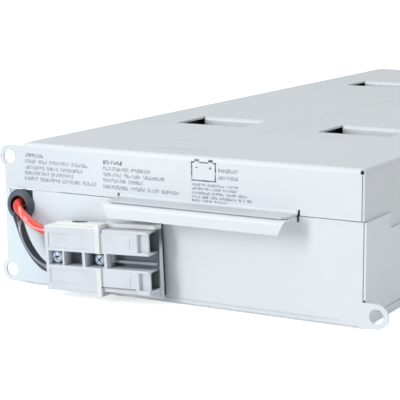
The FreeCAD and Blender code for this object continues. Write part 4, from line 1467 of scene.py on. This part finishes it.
@dataclass
class FrontPrint:
    """Plain printed marks on the cover's front: rows of fine strokes and a battery outline.

    A row is its left end, right end and middle height. A kind of rows is the height of a mark,
    the thickness of a stroke and the first row's seed.
    """

    titles: tuple[Point, ...] = ((4.2, 18.2, 76.0), (57.6, 70.0, 75.6))
    title_kind: tuple[float, float, int] = (2.3, 0.45, 1)
    rows: tuple[Point, ...] = (
        (4.1, 46.8, 72.4), (4.0, 44.1, 68.9), (3.9, 37.2, 65.7), (3.8, 53.4, 62.4),
        (57.5, 90.5, 72.0), (57.5, 98.6, 68.7), (57.4, 84.4, 65.5), (57.3, 107.2, 61.8),
        (130.8, 142.6, 76.2), (130.8, 143.1, 72.4))
    row_kind: tuple[float, float, int] = (2.2, 0.36, 11)
    notes: tuple[Point, ...] = ((114.6, 143.6, 67.7), (114.6, 142.0, 65.5), (114.6, 148.6, 63.2),
                                (114.6, 151.2, 61.0), (114.6, 136.8, 58.9))
    note_kind: tuple[float, float, int] = (1.5, 0.3, 31)
    corner: Span = (114.1, 69.6)
    wide: float = 15.3
    high: float = 10.6
    line: float = 0.75
    posts: Span = (2.0, 4.8)
    post_wide: float = 2.8
    post_high: float = 1.3
    signs: tuple[tuple[float, ...], ...] = (
        (2.6, 7.2, 4.3, 7.7), (10.9, 7.2, 12.7, 7.7), (11.55, 6.6, 12.05, 8.3))

    def battery(self, marks: Marks) -> None:
        """Add a battery outline with its two terminals and signs.

        Args:
            marks: Where the rectangles go.
        """
        (x, z), line, post = self.corner, self.line, self.post_wide
        right, top = x + self.wide, z + self.high
        first, second = x + self.posts[0], right - self.posts[1]
        marks.add([(x, z, right, z + line), (x, z + line, x + line, top),
                   (right - line, z + line, right, top)])
        marks.add([(x, top - line, first, top), (first + post, top - line, second, top),
                   (second + post, top - line, right, top)])
        for left in (first, second):
            marks.add([(left, top, left + post, top + self.post_high)])
        marks.add(np.array(self.signs) + (x, z, x, z))

    def build(self) -> list[bpy.types.Object]:
        """Lay out the fine rows and the bolder marks.

        Returns:
            The fine and the bold piece.
        """
        fine = Marks("front_print", Ink("printed_ink", linear(108, 114, 124)))
        bold = Marks("front_titles", Ink("bold_ink", linear(52, 58, 66)))
        for marks, rows, (height, stroke, first) in (
                (bold, self.titles, self.title_kind), (fine, self.rows, self.row_kind),
                (fine, self.notes, self.note_kind)):
            for seed, row in enumerate(rows, first):
                marks.row(*row, height, stroke, seed)
        self.battery(bold)
        return [fine.build(), bold.build()]


@dataclass(frozen=True)
class Lamp:
    """A soft rectangular lamp: its place and aim, its width in metres, and its power in watts.

    Tall is its height as a share of its width.
    """

    name: str
    place: Point
    aim: Point
    size: float
    power: float
    colour: Colour = (1.0, 1.0, 1.0)
    tall: float = 1.0

    def build(self) -> None:
        """Set the lamp up, facing its aim."""
        data = bpy.data.lights.new(self.name, "AREA")
        data.shape = "RECTANGLE"
        data.size = self.size
        data.size_y = self.size * self.tall
        data.energy = self.power
        data.color = self.colour
        made = linked(self.name, data)
        made.location = self.place
        ahead = Vector(self.aim) - Vector(self.place)
        made.rotation_euler = ahead.to_track_quat("-Z", "Y").to_euler()


@dataclass
class Studio:
    """Camera, soft lamps and a pale floor: places in metres, angles in degrees, lens in mm."""

    place: Point = (0.3823, -0.9297, 0.1969)
    azimuth: float = 29.35
    elevation: float = 10.30
    roll: float = -0.25
    lens: float = 128.53
    sensor: float = 36.0
    near_limit: float = 0.01
    white: Colour = (1.0, 1.0, 1.0)
    sky: Colour = (0.93, 0.96, 1.0)
    sky_strength: float = 0.42
    floor_colour: Colour = (0.9, 0.9, 0.9)
    floor_glow: float = 0.62
    floor_half: float = 12.0
    floor_depth: float = 0.0004
    lamps: tuple[Lamp, ...] = (
        Lamp("strip_lamp", (-1.3, -2.5, 0.95), (0.0, -0.2, 0.04), 0.4, 38.5, (0.92, 0.97, 1.0), 4.5),
        Lamp("high_lamp", (-0.6, -1.3, 2.3), (0.0, -0.1, 0.05), 1.5, 11.0, (1.0, 1.0, 0.95)),
        Lamp("top_lamp", (0.0, 0.3, 2.4), (0.0, 0.1, 0.05), 1.6, 15.0, (1.0, 1.0, 0.97)),
        Lamp("side_lamp", (2.6, -0.5, 0.9), (0.0, 0.0, 0.04), 1.6, 9.0))

    def camera(self) -> None:
        """Set the photograph's camera: its own axes from azimuth, elevation and roll."""
        a, e, r = (math.radians(angle) for angle in (self.azimuth, self.elevation, self.roll))
        ahead = Vector((-math.sin(a) * math.cos(e), math.cos(a) * math.cos(e), -math.sin(e)))
        right = ahead.cross(Vector((0, 0, 1))).normalized()
        above = right.cross(ahead)
        turned = right * math.cos(r) + above * math.sin(r)
        raised = above * math.cos(r) - right * math.sin(r)
        data = bpy.data.cameras.new("photo_camera")
        data.sensor_width = self.sensor
        data.lens = self.lens
        data.clip_start = self.near_limit
        made = linked("photo_camera", data)
        axes = Matrix((turned, raised, -ahead)).transposed()
        made.matrix_world = Matrix.Translation(self.place) @ axes.to_4x4()
        bpy.context.scene.camera = made

    def background(self) -> None:
        """A white background for the camera and through glass, and a dim even sky else."""
        world = bpy.data.worlds.new("studio")
        bpy.context.scene.world = world
        world.use_nodes = True
        world.node_tree.nodes.clear()
        nodes = Nodes(world.node_tree)
        rays = nodes.node("ShaderNodeLightPath", {}, {}).outputs
        seen = nodes.node("ShaderNodeMath", {"operation": "MAXIMUM"},
                          {0: rays["Is Camera Ray"], 1: rays["Is Transmission Ray"]})
        sky = nodes.node("ShaderNodeBackground", {}, {"Color": (*self.sky, 1.0),
                                                      "Strength": self.sky_strength})
        white = nodes.node("ShaderNodeBackground", {}, {"Color": (*self.white, 1.0)})
        mix = nodes.node("ShaderNodeMixShader", {}, {0: seen.outputs[0], 1: sky.outputs[0],
                                                     2: white.outputs[0]})
        nodes.node("ShaderNodeOutputWorld", {}, {0: mix.outputs[0]})

    def floor(self) -> None:
        """A pale floor that reads white to the camera and keeps the object's shadow."""
        side, level = self.floor_half, -self.floor_depth
        points = np.array([(-side, -side, level), (side, -side, level), (side, side, level),
                           (-side, side, level)])
        made = surface_mesh("floor", points, np.array([[0, 1, 2, 3]]))
        graph = Graph("pale_floor")
        graph.surface(self.floor_colour, Gloss.DULL.value)
        seen = Mask(graph, graph.node("ShaderNodeLightPath", {}, {}).outputs["Is Camera Ray"])
        glow = graph.node("ShaderNodeEmission", {}, {"Color": (*self.white, 1.0),
                                                     "Strength": seen * self.floor_glow})
        both = graph.node("ShaderNodeAddShader", {}, {0: graph.shader.outputs[0],
                                                      1: glow.outputs[0]})
        graph.feed(graph.tree.nodes["Material Output"].inputs["Surface"], both.outputs[0])
        made.data.materials.append(graph.material)

    def build(self) -> None:
        """Set up everything round the object."""
        self.camera()
        self.background()
        self.floor()
        for lamp in self.lamps:
            lamp.build()


@dataclass
class Dressing:
    """Gives each carried-over node its finish, by the start of the node's name."""

    nodes: dict[str, bpy.types.Object]

    def finishes(self) -> dict[str, bpy.types.Material]:
        """Build the materials.

        Returns:
            The finishes by the start of the nodes' names.
        """
        coat = PowderCoat().material()
        plate = PanelCoat().material()
        lid = CoverCoat().material()
        shell = Moulding("block_case", linear(52, 53, 56)).material()
        cap = Moulding("block_lid", linear(70, 71, 75)).material()
        steel = PlatedMetal("zinc_plate", linear(200, 203, 206)).material()
        tin = PlatedMetal("tin_plate", linear(214, 212, 204), 0.28).material()
        board = Moulding("board", linear(222, 220, 210)).material()
        red = Insulation("inner_red", linear(226, 52, 38), linear(245, 120, 100)).material()
        black = Insulation("inner_black", linear(52, 56, 66), linear(110, 114, 124)).material()
        foam = Foam().material()
        ceramic = Moulding("ceramic", linear(232, 226, 212), Gloss.GLAZED).material()
        return {
            "tray": coat, "front_panel": plate, "cover": lid,
            "battery_case": shell, "battery_lid": cap,
            "terminal_blades": tin, "series_links": tin, "cross_link": tin, "contact": tin,
            "floor_foam": foam, "top_foam": foam, "rear_foam": foam, "column_divider": foam,
            "bay_wall": board, "fuse_block": board, "fuse_cartridge": ceramic,
            "connector_spacers": board, "connector_nuts": steel, "rear_screws": steel,
            "inner_lead_red": red, "inner_lead_fuse": red, "inner_lead_black": black,
        }

    def dress(self) -> None:
        """Put each finish on the nodes whose names start with its key."""
        finishes = self.finishes()
        for name, node in self.nodes.items():
            key = next((key for key in finishes if name.startswith(key)), None)
            if key is None:
                continue
            node.data.materials.clear()
            node.data.materials.append(finishes[key])
            LOG.info("%s takes %s", name, finishes[key].name)


def main() -> None:
    """Build the scene in order: studio, leads, plug, grommet and print, then the finishes."""
    logging.basicConfig(level=logging.INFO, format="%(name)s: %(message)s")
    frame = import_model()
    bpy.context.scene.view_settings.view_transform = "Standard"
    Studio().build()
    plug = Plug()
    pieces = [*Wiring(plug).build(), plug.build(), *Screws(plug).build(), *Grommet().build(),
              *FrontPrint().build()]
    for made in pieces:
        LOG.info("made %s", made.name)
    Dressing(frame["nodes"]).dress()


if __name__ == "__main__":
    main()
